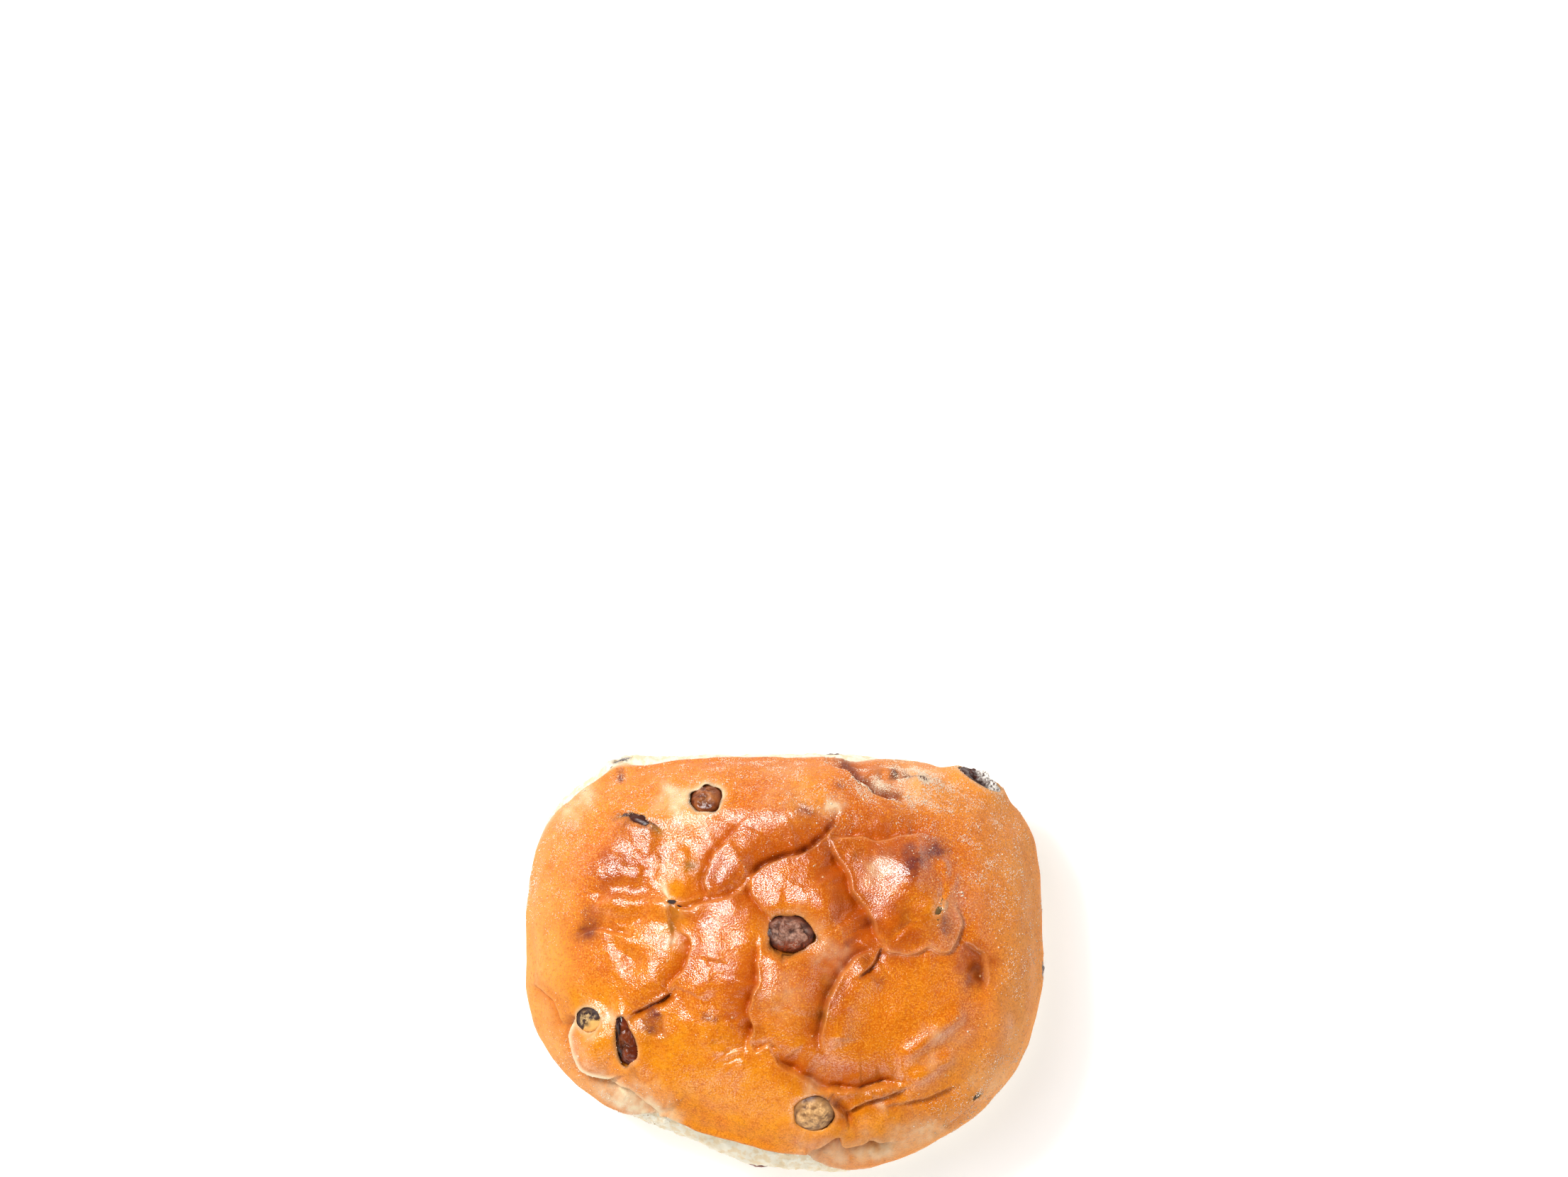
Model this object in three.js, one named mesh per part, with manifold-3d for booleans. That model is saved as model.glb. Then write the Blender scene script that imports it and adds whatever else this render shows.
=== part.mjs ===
// A currant bun: one piece of dough, with raisins and currants set in its skin. Its back is square,
// its front is rounder, and its glazed top has sunk into folds.
// Millimetres, +Z up. The origin is on the flat base, under the middle of the bun. +X is along its
// long side, and -Y is its front.
import * as THREE from "three";
import { mergeVertices } from "three/addons/utils/BufferGeometryUtils.js";
import Module from "manifold-3d";

const wasm = await Module();
wasm.setup();

// ---- Driving sizes ----

const bun = {
  halfWidth: 47.5,
  halfDepthBack: 38.3,
  halfDepthFront: 37.6,
  height: 43.5, // of the smooth dome, which the lobes and rolls top by up to 1.5
  widestLevel: 17,
  domeFullness: 2.5, // 2 is a half ellipse, and more is a flatter top with fuller shoulders
  backSquareness: 1.3, // added to the dome's fullness towards the back, whose flank stands upright
  flankFullness: 3,
  belowBase: 6, // how far the flank would round on below the tray that made the base flat
};

// How square each corner of the plan is: 2 is an ellipse, and 4 is nearly square.
const cornerFullness = { backRight: 3.6, backLeft: 3.6, frontLeft: 2.1, frontRight: 2.3 };

// Where the plan departs from those corners: the front left is cut off, and the front has a soft nose.
const planBulges = [
  { at: 237, height: -3.6, spread: 15 },
  { at: 290, height: 1.4, spread: 12 },
];

const skinDetail = 14; // the dough's sphere has 20 (detail + 1)^2 triangles before it is cut
const skinSpread = 155; // degrees of that sphere for the skin: the rest is below the tray, and is cut off
const raisinDetail = 2;
const currantDetail = 1;
const seatGap = 0.3; // clear space between a raisin and its hollow in the dough

// The folds of the sunken top, each along its own line in plan, with its depth and width at the middle.
const folds = [
  // the back fold, its branch along the back, and the run down to the knot right of the middle
  { depth: 2.6, width: 2.4, line: [[10, 27], [9, 23], [4, 20.5], [-2, 19], [-7, 15]] },
  { depth: 1.5, width: 2.2, line: [[9, 23], [15, 22], [21, 22], [27, 23]] },
  { depth: 2.2, width: 2.6, line: [[9, 22], [12, 16], [15, 8], [18, 3]] },
  // the scallop round the right lobe, and the pit at its end
  { depth: 1.4, width: 2, line: [[18, 3], [25, 1.5], [31, 2], [33.5, 6], [32, 12]] },
  { depth: 2.6, width: 2.6, line: [[33, 4], [36, 0], [36, -4]] },
  // the twist behind the middle raisin, and the fold round the left lobe
  { depth: 1.3, width: 1.8, line: [[-6, 14], [-4, 11], [0, 8.5]] },
  { depth: 1.8, width: 2.2, line: [[-8, 14], [-16, 10.5], [-19, 7], [-18, 0], [-21, -5], [-28, -9]] },
  { depth: 1.8, width: 2.4, line: [[-21, 24], [-21, 17], [-22, 10], [-20, 3]] },
  { depth: 1.2, width: 2, line: [[-8, 27], [-12, 20], [-14, 14]] },
  // the long fold from the middle raisin to the front, and the curled one beside it
  { depth: 2.1, width: 2.4, line: [[-4, 5], [-5, -2], [-7, -9], [-6, -15], [0, -18], [8, -23], [21, -23]] },
  { depth: 2.4, width: 2.5, line: [[15, 2], [10, -1], [7.5, -8], [6.5, -15]] },
  // creases near the edge
  { depth: 1, width: 1.8, line: [[-46, -4], [-42, -8], [-37, -8.5]] },
  { depth: 1, width: 1.8, line: [[17, -27], [24, -25.5], [33, -23]] },
];
const foldSteps = 24;
const foldFade = 0.2; // share of a fold's length over which each end runs out
const endDepth = 0.25; // depth at a fold's very end, as a share of its full depth

// The rounded roll of skin on each side of a fold: its height as a share of the fold's depth, and how
// far off and how wide it is in fold widths.
const roll = { height: 0.35, offset: 2.2, width: 1.3 };

// Broad lobes between the folds, and small bumps where a raisin lies under the skin.
const lobes = [
  { x: -31, y: 11, reach: 9, height: 1.8 },
  { x: -11, y: -1, reach: 6, height: 0.9 },
  { x: 2, y: -6, reach: 5, height: 0.9 },
  { x: 22, y: -12, reach: 12, height: 0.8 },
  { x: 26, y: 12, reach: 7, height: 1.4 },
  { x: -1, y: 29, reach: 7, height: 0.8 },
  { x: 4.5, y: 28.5, reach: 3, height: 1 },
  { x: -33.5, y: -16, reach: 3.2, height: 1.8 },
];

// Relief is full this far above the widest level, and the flank below it is smooth.
const reliefRise = 8;

// The crust overhangs the pale front flank, with a groove under its edge.
const lip = { from: 205, to: 325, fade: 25, level: 27, width: 2.2, depth: 1.3 };

// The last polar angle that is laid out evenly along the profile, a little below the tray.
const lastPolar = 138;

// ---- The dough's skin ----

const radians = THREE.MathUtils.degToRad;
const bell = (distance, width) => Math.exp(-((distance / width) ** 2));

function turnBetween(angle, other) {
  const turn = Math.abs(angle - other) % 360;
  return Math.min(turn, 360 - turn);
}

// Distance from the middle to the bun's edge in plan, at an angle in degrees from +X.
function planRadius(angle) {
  const across = Math.cos(radians(angle));
  const along = Math.sin(radians(angle));
  const side = across > 0 ? "Right" : "Left";
  const fullness = cornerFullness[(along > 0 ? "back" : "front") + side];
  const halfDepth = along > 0 ? bun.halfDepthBack : bun.halfDepthFront;
  const shares = Math.abs(across / bun.halfWidth) ** fullness + Math.abs(along / halfDepth) ** fullness;
  const bulge = planBulges.reduce(
    (sum, b) => sum + b.height * bell(turnBetween(angle, b.at), b.spread * Math.SQRT2),
    0,
  );
  return shares ** (-1 / fullness) + bulge;
}

function domeFullness(angle) {
  return bun.domeFullness + bun.backSquareness * Math.max(0, Math.sin(radians(angle))) ** 6;
}

// The smooth shape: polar is 0 at the top's middle, 90 at the widest level and 180 under the base.
function smoothPoint(polar, angle) {
  const upper = polar <= 90;
  const power = 2 / (upper ? domeFullness(angle) : bun.flankFullness);
  const reach = Math.abs(Math.sin(radians(polar))) ** power * planRadius(angle);
  const rise = Math.abs(Math.cos(radians(polar))) ** power;
  const level = upper
    ? bun.widestLevel + (bun.height - bun.widestLevel) * rise
    : bun.widestLevel - (bun.widestLevel + bun.belowBase) * rise;
  return new THREE.Vector3(reach * Math.cos(radians(angle)), reach * Math.sin(radians(angle)), level);
}

function smoothNormal(polar, angle) {
  const step = 0.5;
  const steep = THREE.MathUtils.clamp(polar, 2, 178);
  const down = smoothPoint(steep + step, angle).sub(smoothPoint(steep - step, angle));
  const round = smoothPoint(steep, angle + step).sub(smoothPoint(steep, angle - step));
  return polar < 2 ? new THREE.Vector3(0, 0, 1) : down.cross(round).normalize();
}

function foldSamples(fold) {
  const curve = new THREE.SplineCurve(fold.line.map(([x, y]) => new THREE.Vector2(x, y)));
  return curve.getPoints(foldSteps).map((point, i) => {
    const fromEnd = Math.min(i, foldSteps - i) / foldSteps;
    return { point, depth: fold.depth * Math.min(1, endDepth + fromEnd / foldFade) };
  });
}

const foldRuns = folds.map((fold) => ({ width: fold.width, samples: foldSamples(fold) }));

// A valley along each fold with a roll on both sides. Where folds meet, only the deepest one counts.
function foldRelief(x, y) {
  let valley = 0;
  let raised = 0;
  for (const { width, samples } of foldRuns) {
    let distance = Infinity;
    let depth = 0;
    for (const sample of samples) {
      const away = Math.hypot(x - sample.point.x, y - sample.point.y);
      if (away < distance) {
        distance = away;
        depth = sample.depth;
      }
    }
    const fromRoll = distance - roll.offset * width;
    valley = Math.max(valley, depth * bell(distance, width));
    raised = Math.max(raised, roll.height * depth * bell(fromRoll, roll.width * width));
  }
  return raised - valley;
}

function lipDepth(level, angle) {
  const turned = (angle + 360) % 360;
  const inside = Math.min(turned - lip.from, lip.to - turned) / lip.fade;
  return lip.depth * THREE.MathUtils.clamp(inside, 0, 1) * bell(level - lip.level, lip.width);
}

function relief(point, angle) {
  const raised = lobes.reduce(
    (sum, lobe) => sum + lobe.height * bell(Math.hypot(point.x - lobe.x, point.y - lobe.y), lobe.reach),
    0,
  );
  const onTop = THREE.MathUtils.smoothstep(point.z, bun.widestLevel, bun.widestLevel + reliefRise);
  return onTop * (raised + foldRelief(point.x, point.y)) - lipDepth(point.z, angle);
}

function skinPoint(polar, angle) {
  const point = smoothPoint(polar, angle);
  return point.addScaledVector(smoothNormal(polar, angle), relief(point, angle));
}

// Lengths along the profile from the top's middle to each whole degree of polar, as far as lastPolar.
const profileLengths = [0];
for (let polar = 1; polar <= lastPolar; polar++) {
  const step = smoothPoint(polar, 0).distanceTo(smoothPoint(polar - 1, 0));
  profileLengths.push(profileLengths[polar - 1] + step);
}

// The sphere's own angle from its pole, as the polar angle that spaces the vertices evenly on the skin.
function evenPolar(sphereAngle) {
  if (sphereAngle > skinSpread)
    return THREE.MathUtils.mapLinear(sphereAngle, skinSpread, 180, lastPolar, 180);
  const length = (sphereAngle / skinSpread) * profileLengths[lastPolar];
  const after = Math.max(1, profileLengths.findIndex((reached) => reached >= length));
  const before = profileLengths[after - 1];
  return after - 1 + (length - before) / (profileLengths[after] - before);
}

// ---- Solids ----

// A closed geometry as a manifold solid: only its positions count, and shared vertices are merged.
function solidOf(geometry) {
  const bare = geometry.clone();
  bare.deleteAttribute("normal");
  bare.deleteAttribute("uv");
  const merged = mergeVertices(bare, 1e-3);
  return new wasm.Manifold(
    new wasm.Mesh({
      numProp: 3,
      vertProperties: new Float32Array(merged.attributes.position.array),
      triVerts: new Uint32Array(merged.index.array),
    }),
  );
}

function geometryOf(solid) {
  const mesh = solid.getMesh();
  const geometry = new THREE.BufferGeometry();
  geometry.setAttribute("position", new THREE.BufferAttribute(mesh.vertProperties, mesh.numProp));
  geometry.setIndex(new THREE.BufferAttribute(mesh.triVerts, 1));
  geometry.computeVertexNormals();
  return geometry;
}

// A sphere's vertices, each moved to where the given function puts its direction.
function shapedSphere(detail, place) {
  const geometry = new THREE.IcosahedronGeometry(1, detail);
  const position = geometry.attributes.position;
  for (let i = 0; i < position.count; i++) {
    const direction = new THREE.Vector3().fromBufferAttribute(position, i).normalize();
    const moved = place(direction);
    position.setXYZ(i, moved.x, moved.y, moved.z);
  }
  return geometry;
}

function doughGeometry() {
  return shapedSphere(skinDetail, (d) => {
    const sphereAngle = THREE.MathUtils.radToDeg(Math.acos(THREE.MathUtils.clamp(d.z, -1, 1)));
    return skinPoint(evenPolar(sphereAngle), THREE.MathUtils.radToDeg(Math.atan2(d.y, d.x)));
  });
}

// The space under the tray, which is cut off so that the base is one flat face.
function belowTray() {
  const side = 4 * bun.halfWidth;
  const box = new THREE.BoxGeometry(side, side, side);
  box.translate(0, 0, -side / 2);
  return solidOf(box);
}

// ---- Raisins and currants ----

// Each lies on the skin at x and y in plan, or at an angle and a level on the flank. Sizes are length,
// width and thickness; sunk is how far its middle is below the skin; turn is its length's direction.
const raisins = [
  { name: "raisin_middle", x: 0.9, y: 5.7, size: [9.8, 7, 5.6], sunk: 1.1, turn: 175 },
  { name: "raisin_front", x: 5.4, y: -27.1, size: [8.2, 8, 5.2], sunk: 1.4, turn: 40 },
  { name: "currant_back_left", x: -14.3, y: 30.7, size: [6.4, 5.8, 4.6], sunk: 1.5, turn: 10 },
  { name: "raisin_split", x: -26.6, y: 26.4, size: [8, 3.8, 4.4], sunk: 1.5, turn: -32 },
  { name: "currant_left", x: -35.3, y: -10.8, size: [6.4, 5.6, 4.6], sunk: 0.9, turn: 15 },
  { name: "raisin_left", x: -29.2, y: -14.6, size: [11, 4.8, 5], sunk: 0.9, turn: 92 },
  { name: "raisin_shoulder", angle: 43, level: 24.5, size: [9.6, 6.8, 6.4], sunk: 0.6, turn: 5 },
  { name: "raisin_corner", angle: 129, level: 21, size: [8, 5.6, 5], sunk: 1, turn: 20 },
  { name: "currant_right", x: 27.7, y: 9.8, size: [6.4, 4, 4.4], sunk: 1.6, turn: 70 },
  { name: "currant_lobe_edge", x: -20.4, y: 11.5, size: [7, 3.4, 4.2], sunk: 1.1, turn: -8 },
  { name: "currant_front_right", x: 35, y: -23.9, size: [5.6, 3.6, 4], sunk: 1.4, turn: 60 },
  { name: "currant_back_right", x: 25.5, y: 33.6, size: [5.4, 3.8, 4], sunk: 1.3, turn: -35 },
  { name: "raisin_right_flank", angle: -1.4, level: 18, size: [9, 6, 5], sunk: 2.1, turn: 80 },
  { name: "currant_left_flank", angle: 196, level: 10, size: [6.6, 5.4, 4.6], sunk: 1.6, turn: 20 },
  { name: "raisin_front_flank", angle: 262, level: 13, size: [9, 6, 5], sunk: 1.6, turn: -15 },
  { name: "currant_front_flank", angle: 306, level: 9, size: [6, 5, 4.4], sunk: 1.3, turn: 50 },
  { name: "raisin_back_flank", angle: 76, level: 12, size: [9.4, 6.2, 5.2], sunk: 2.1, turn: 25 },
  { name: "currant_back_flank", angle: 112, level: 9, size: [6, 5.2, 4.6], sunk: 1.7, turn: -40 },
];

function polarAtReach(share, angle) {
  return THREE.MathUtils.radToDeg(Math.asin(Math.min(1, share) ** (domeFullness(angle) / 2)));
}

function polarAtLevel(level, angle) {
  const above = level > bun.widestLevel;
  const share = above
    ? (level - bun.widestLevel) / (bun.height - bun.widestLevel)
    : (bun.widestLevel - level) / (bun.widestLevel + bun.belowBase);
  const fullness = above ? domeFullness(angle) : bun.flankFullness;
  const tilt = THREE.MathUtils.radToDeg(Math.acos(share ** (fullness / 2)));
  return above ? tilt : 180 - tilt;
}

function seatOf({ x, y, angle, level }) {
  if (angle !== undefined) return { polar: polarAtLevel(level, angle), angle };
  const around = THREE.MathUtils.radToDeg(Math.atan2(y, x));
  return { polar: polarAtReach(Math.hypot(x, y) / planRadius(around), around), angle: around };
}

// A dried fruit's wrinkled egg shape, grown outwards by margin when it is used to cut its own hollow.
function raisinGeometry({ name, size }, phase, margin = 0) {
  const half = new THREE.Vector3(...size).multiplyScalar(0.5);
  return shapedSphere(name.startsWith("currant") ? currantDetail : raisinDetail, (d) => {
    const lengthways = 0.06 * Math.sin(5 * d.x + 3 * d.z + phase);
    const crossways = 0.05 * Math.sin(6 * d.y - 4 * d.x + 2 * phase);
    const shape = half.clone().multiplyScalar(0.9 + lengthways + crossways).addScalar(margin);
    return d.clone().multiply(shape);
  });
}

// Length along the turn's direction, thickness along the skin's outward normal, middle below the skin.
function raisinPlace(raisin) {
  const { polar, angle } = seatOf(raisin);
  const outward = smoothNormal(polar, angle);
  const turn = radians(raisin.turn);
  const onFlank = raisin.angle !== undefined;
  const roundFlank = new THREE.Vector3(-Math.sin(radians(angle)), Math.cos(radians(angle)), 0);
  const across = onFlank ? roundFlank : new THREE.Vector3(1, 0, 0);
  const along = onFlank ? new THREE.Vector3(0, 0, 1) : new THREE.Vector3(0, 1, 0);
  const lengthwise = across.multiplyScalar(Math.cos(turn)).addScaledVector(along, Math.sin(turn));
  const widthAxis = outward.clone().cross(lengthwise).normalize();
  const lengthAxis = widthAxis.clone().cross(outward);
  const place = new THREE.Matrix4().makeBasis(lengthAxis, widthAxis, outward);
  return place.setPosition(skinPoint(polar, angle).addScaledVector(outward, -raisin.sunk));
}

// ---- The bun ----

const doughMaterial = new THREE.MeshStandardMaterial({ color: 0xd98a3d, roughness: 0.5, metalness: 0 });
const raisinMaterial = new THREE.MeshStandardMaterial({ color: 0x3f231b, roughness: 0.5, metalness: 0 });

const group = new THREE.Group();
let dough = solidOf(doughGeometry()).subtract(belowTray());

raisins.forEach((raisin, i) => {
  const phase = 1.7 * i;
  const place = raisinPlace(raisin);
  const mesh = new THREE.Mesh(raisinGeometry(raisin, phase), raisinMaterial);
  mesh.name = raisin.name;
  place.decompose(mesh.position, mesh.quaternion, mesh.scale);
  group.add(mesh);
  dough = dough.subtract(solidOf(raisinGeometry(raisin, phase, seatGap).applyMatrix4(place)));
});

const doughMesh = new THREE.Mesh(geometryOf(dough), doughMaterial);
doughMesh.name = "dough";
group.add(doughMesh);

export default group;
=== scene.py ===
import math
import bmesh
import bpy
import numpy as np
from mathutils import Matrix, Vector, noise


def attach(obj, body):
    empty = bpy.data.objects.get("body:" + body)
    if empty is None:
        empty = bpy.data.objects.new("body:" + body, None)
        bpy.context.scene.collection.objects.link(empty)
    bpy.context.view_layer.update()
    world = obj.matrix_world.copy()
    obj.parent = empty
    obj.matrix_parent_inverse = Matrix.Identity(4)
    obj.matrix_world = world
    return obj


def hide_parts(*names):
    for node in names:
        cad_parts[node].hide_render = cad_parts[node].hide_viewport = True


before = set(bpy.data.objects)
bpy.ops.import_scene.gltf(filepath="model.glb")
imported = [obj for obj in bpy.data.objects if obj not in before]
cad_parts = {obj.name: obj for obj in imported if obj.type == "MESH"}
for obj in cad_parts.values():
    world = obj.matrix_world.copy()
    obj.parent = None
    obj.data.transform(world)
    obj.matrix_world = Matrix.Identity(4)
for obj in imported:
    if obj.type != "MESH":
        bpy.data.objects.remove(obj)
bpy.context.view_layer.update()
draws = np.random.default_rng(27)
mm = 0.001  # everything below is worked out in millimetres, and made metres where a mesh is written


def linear(hexColour):  # sRGB hex to the linear colour that a shader takes
    parts = [int(hexColour[i:i + 2], 16) / 255 for i in (1, 3, 5)]
    return [c / 12.92 if c <= 0.04045 else ((c + 0.055) / 1.055) ** 2.4 for c in parts] + [1.0]


def setInputs(node, inputs):  # values on a node's sockets, and links into them
    for name, value in inputs.items():
        if isinstance(value, bpy.types.NodeSocket):
            node.id_data.links.new(value, node.inputs[name])
        else:
            node.inputs[name].default_value = value


def addNode(tree, kind, inputs=None, **settings):  # a node with its settings, values and links
    node = tree.nodes.new(kind)
    for name, value in settings.items():
        setattr(node, name, value)
    setInputs(node, inputs or {})
    return node


def newMaterial(name):  # with its node tree and its shader
    material = bpy.data.materials.new(name)
    material.use_nodes = True
    return material, material.node_tree, material.node_tree.nodes["Principled BSDF"]


def meshFrom(bm, name):
    mesh = bpy.data.meshes.new(name)
    bm.to_mesh(mesh)
    bm.free()
    return mesh


def makeObject(name, mesh):
    piece = bpy.data.objects.new(name, mesh)
    bpy.context.scene.collection.objects.link(piece)
    return piece


def readPoints(mesh):
    points = np.empty(len(mesh.vertices) * 3)
    mesh.vertices.foreach_get("co", points)
    return points.reshape(-1, 3)


def writePoints(mesh, points):
    mesh.vertices.foreach_set("co", (points * mm).ravel())
    mesh.update()


def readNormals(mesh):
    normals = np.empty(len(mesh.vertices) * 3, np.float32)
    mesh.vertex_normals.foreach_get("vector", normals)
    return normals.reshape(-1, 3).astype(float)


def paint(mesh, name, *channels):  # up to three masks as one colour attribute
    colours = np.ones((len(mesh.vertices), 4), np.float32)
    for column, channel in enumerate(channels):
        colours[:, column] = np.clip(channel, 0, 1)
    layer = mesh.color_attributes.new(name, "FLOAT_COLOR", "POINT")
    layer.data.foreach_set("color", colours.ravel())


def bell(distance, width):
    return np.exp(-((distance / width) ** 2))


def ease(value, start, end):  # 0 at start, 1 at end, smooth between
    t = np.clip((value - start) / (end - start), 0, 1)
    return t * t * (3 - 2 * t)


def noiseAt(points, size, seed=0):  # smooth noise of about -0.7 to 0.7, with features of size mm
    scaled = points / size + np.array([17.3, -9.1, 5.7]) * seed
    return np.fromiter((noise.noise(p) for p in scaled.tolist()), float, len(scaled))


def noisesAt(points, size, *seeds):  # one column of noise for each seed
    return np.column_stack([noiseAt(points, size, seed) for seed in seeds])


def ridgesAt(points, size, seed=0):  # 1 along thin meandering lines, 0 between them
    return 1 - np.minimum(1, np.abs(noiseAt(points, size, seed)) * 3)


def withLevel(plan):  # places in plan as points
    return np.column_stack([plan, np.zeros(len(plan))])


bun = {
    "halfWidth": 47.5, "halfDepthBack": 38.3, "halfDepthFront": 37.6,
    "height": 43.5, "widestLevel": 17,
    "cornerFullness": (3.6, 3.6, 2.1, 2.3),  # of the plan, from back right round by the left
    "planBulges": ((237, -3.6, 15), (290, 1.4, 12)),  # at degrees, height, spread
    "domeFullness": 2.5, "backSquareness": 1.3, "flankFullness": 3, "belowBase": 6,
    "cells": (270, 220), "rings": 34, "baseCells": (66, 54),
    "topEnd": 78, "skinEnd": 140,  # polar degrees where the grid ends, and where the base begins
    "centreCrowding": 0.78,  # under 1, the grid is finer in the middle than at the shoulder
    "baseRounding": 1.3, "baseInset": 0.985,
}


def planRadius(angle):  # from the middle to the bun's edge in plan
    across, along = np.cos(angle), np.sin(angle)
    corner = bun["cornerFullness"]
    back = np.where(across > 0, corner[0], corner[1])
    front = np.where(across > 0, corner[3], corner[2])
    fullness = np.where(along > 0, back, front)
    halfDepth = np.where(along > 0, bun["halfDepthBack"], bun["halfDepthFront"])
    shares = np.abs(across / bun["halfWidth"]) ** fullness + np.abs(along / halfDepth) ** fullness
    radius = shares ** (-1 / fullness)
    for at, height, spread in bun["planBulges"]:
        turned = np.abs((np.degrees(angle) - at + 180) % 360 - 180)
        radius = radius + height * bell(turned, spread * math.sqrt(2))
    return radius


def domeFullness(angle):
    return bun["domeFullness"] + bun["backSquareness"] * np.maximum(0, np.sin(angle)) ** 6


def smoothPoint(polar, angle):  # polar is 0 at the top's middle, 90 at the widest, in radians
    upper = polar <= math.pi / 2
    power = 2 / np.where(upper, domeFullness(angle), bun["flankFullness"])
    reach = np.abs(np.sin(polar)) ** power * planRadius(angle)
    rise = np.abs(np.cos(polar)) ** power
    widest = bun["widestLevel"]
    level = np.where(upper, widest + (bun["height"] - widest) * rise,
                     widest - (widest + bun["belowBase"]) * rise)
    return np.stack([reach * np.cos(angle), reach * np.sin(angle), level], -1)


def profileLengths():  # along the profile from the top's middle, at each half degree of polar
    polar = np.radians(np.arange(0, bun["skinEnd"] + 0.5, 0.5))
    steps = np.linalg.norm(np.diff(smoothPoint(polar, np.zeros(len(polar))), axis=0), axis=1)
    return polar, np.concatenate([[0], np.cumsum(steps)])


profilePolar, profileLength = profileLengths()


def makeSkin():  # a grid for the top, rings for the flank and a coarser grid for the base
    bm = bmesh.new()
    bmesh.ops.create_grid(bm, x_segments=bun["cells"][0], y_segments=bun["cells"][1], size=1)
    rim = [e for e in bm.edges if e.is_boundary]
    for _ in range(bun["rings"]):
        made = bmesh.ops.extrude_edge_only(bm, edges=rim)["geom"]
        newVerts = {g for g in made if isinstance(g, bmesh.types.BMVert)}
        rim = [g for g in made if isinstance(g, bmesh.types.BMEdge) and set(g.verts) <= newVerts]
        bmesh.ops.translate(bm, verts=list(newVerts), vec=(0, 0, -1))
    base = bmesh.ops.create_grid(
        bm, x_segments=bun["baseCells"][0], y_segments=bun["baseCells"][1], size=1,
        matrix=Matrix.Translation((0, 0, -bun["rings"] - 1)))
    baseRim = {e for v in base["verts"] for e in v.link_edges if e.is_boundary}
    bmesh.ops.bridge_loops(bm, edges=rim + list(baseRim))
    bmesh.ops.recalc_face_normals(bm, faces=bm.faces)
    return meshFrom(bm, "dough")


def layOut(grid):  # the flat grid's own coordinates, as an angle and a polar angle on the skin
    u, v, ring = grid[:, 0], grid[:, 1], np.round(-grid[:, 2])
    share = np.maximum(np.abs(u), np.abs(v))
    wide = np.abs(u) >= np.abs(v)
    slope = np.where(wide, v, u) / np.maximum(share, 1e-9)
    slope = (slope + np.tan(math.pi / 4 * slope)) / 2
    dx = np.where(wide, np.sign(u), slope)
    dy = np.where(wide, slope, np.sign(v)) * bun["cells"][1] / bun["cells"][0]
    topLength = np.interp(math.radians(bun["topEnd"]), profilePolar, profileLength)
    crowding = bun["centreCrowding"]
    onTop = topLength * (crowding * share + (1 - crowding) * share ** 3)
    onFlank = topLength + (profileLength[-1] - topLength) * ring / bun["rings"]
    onBase = ring > bun["rings"]
    polar = np.interp(np.where(ring > 0, onFlank, onTop), profileLength, profilePolar)
    polar = np.where(onBase, profilePolar[-1], polar)
    return np.arctan2(dy, dx), polar, np.where(onBase, share * bun["baseInset"], 1.0), onBase


foldStep = 0.35  # mm between the points of a fold line


def foldLine(points, seed, wander=0.44):  # an even, slightly unsteady line
    corners = np.array(points, float)
    ends = np.concatenate([[2 * corners[0] - corners[1]], corners, [2 * corners[-1] - corners[-2]]])
    line = []
    for before, start, end, after in zip(ends, ends[1:], ends[2:], ends[3:]):
        count = max(2, int(np.linalg.norm(end - start) / foldStep))
        t = np.arange(count)[:, None] / count
        line.append(0.5 * (2 * start + (end - before) * t
                           + (2 * before - 5 * start + 4 * end - after) * t ** 2
                           + (3 * start - before - 3 * end + after) * t ** 3))
    line = np.concatenate(line + [corners[-1:]])
    return line + noisesAt(withLevel(line), 2.6, seed, seed + 31) * wander


def besideLine(points, line):  # signed distance, left of the line is positive, and share of its length
    gaps = points[:, None, :] - line[None, :, :]
    nearest = np.argmin((gaps ** 2).sum(2), axis=1)
    tangents = np.gradient(line, axis=0)
    tangents /= np.linalg.norm(tangents, axis=1)[:, None]
    offset, tangent = points - line[nearest], tangents[nearest]
    across = tangent[:, 0] * offset[:, 1] - tangent[:, 1] * offset[:, 0]
    along = (tangent * offset).sum(1)
    ended = (nearest == 0) | (nearest == len(line) - 1)
    beyond = np.where(ended, np.abs(along), 0)
    return np.sign(across) * np.hypot(across, beyond), nearest / (len(line) - 1), tangent


def nearLine(plan, line, reach):
    return np.all((plan > line.min(0) - reach) & (plan < line.max(0) + reach), axis=1)


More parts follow.
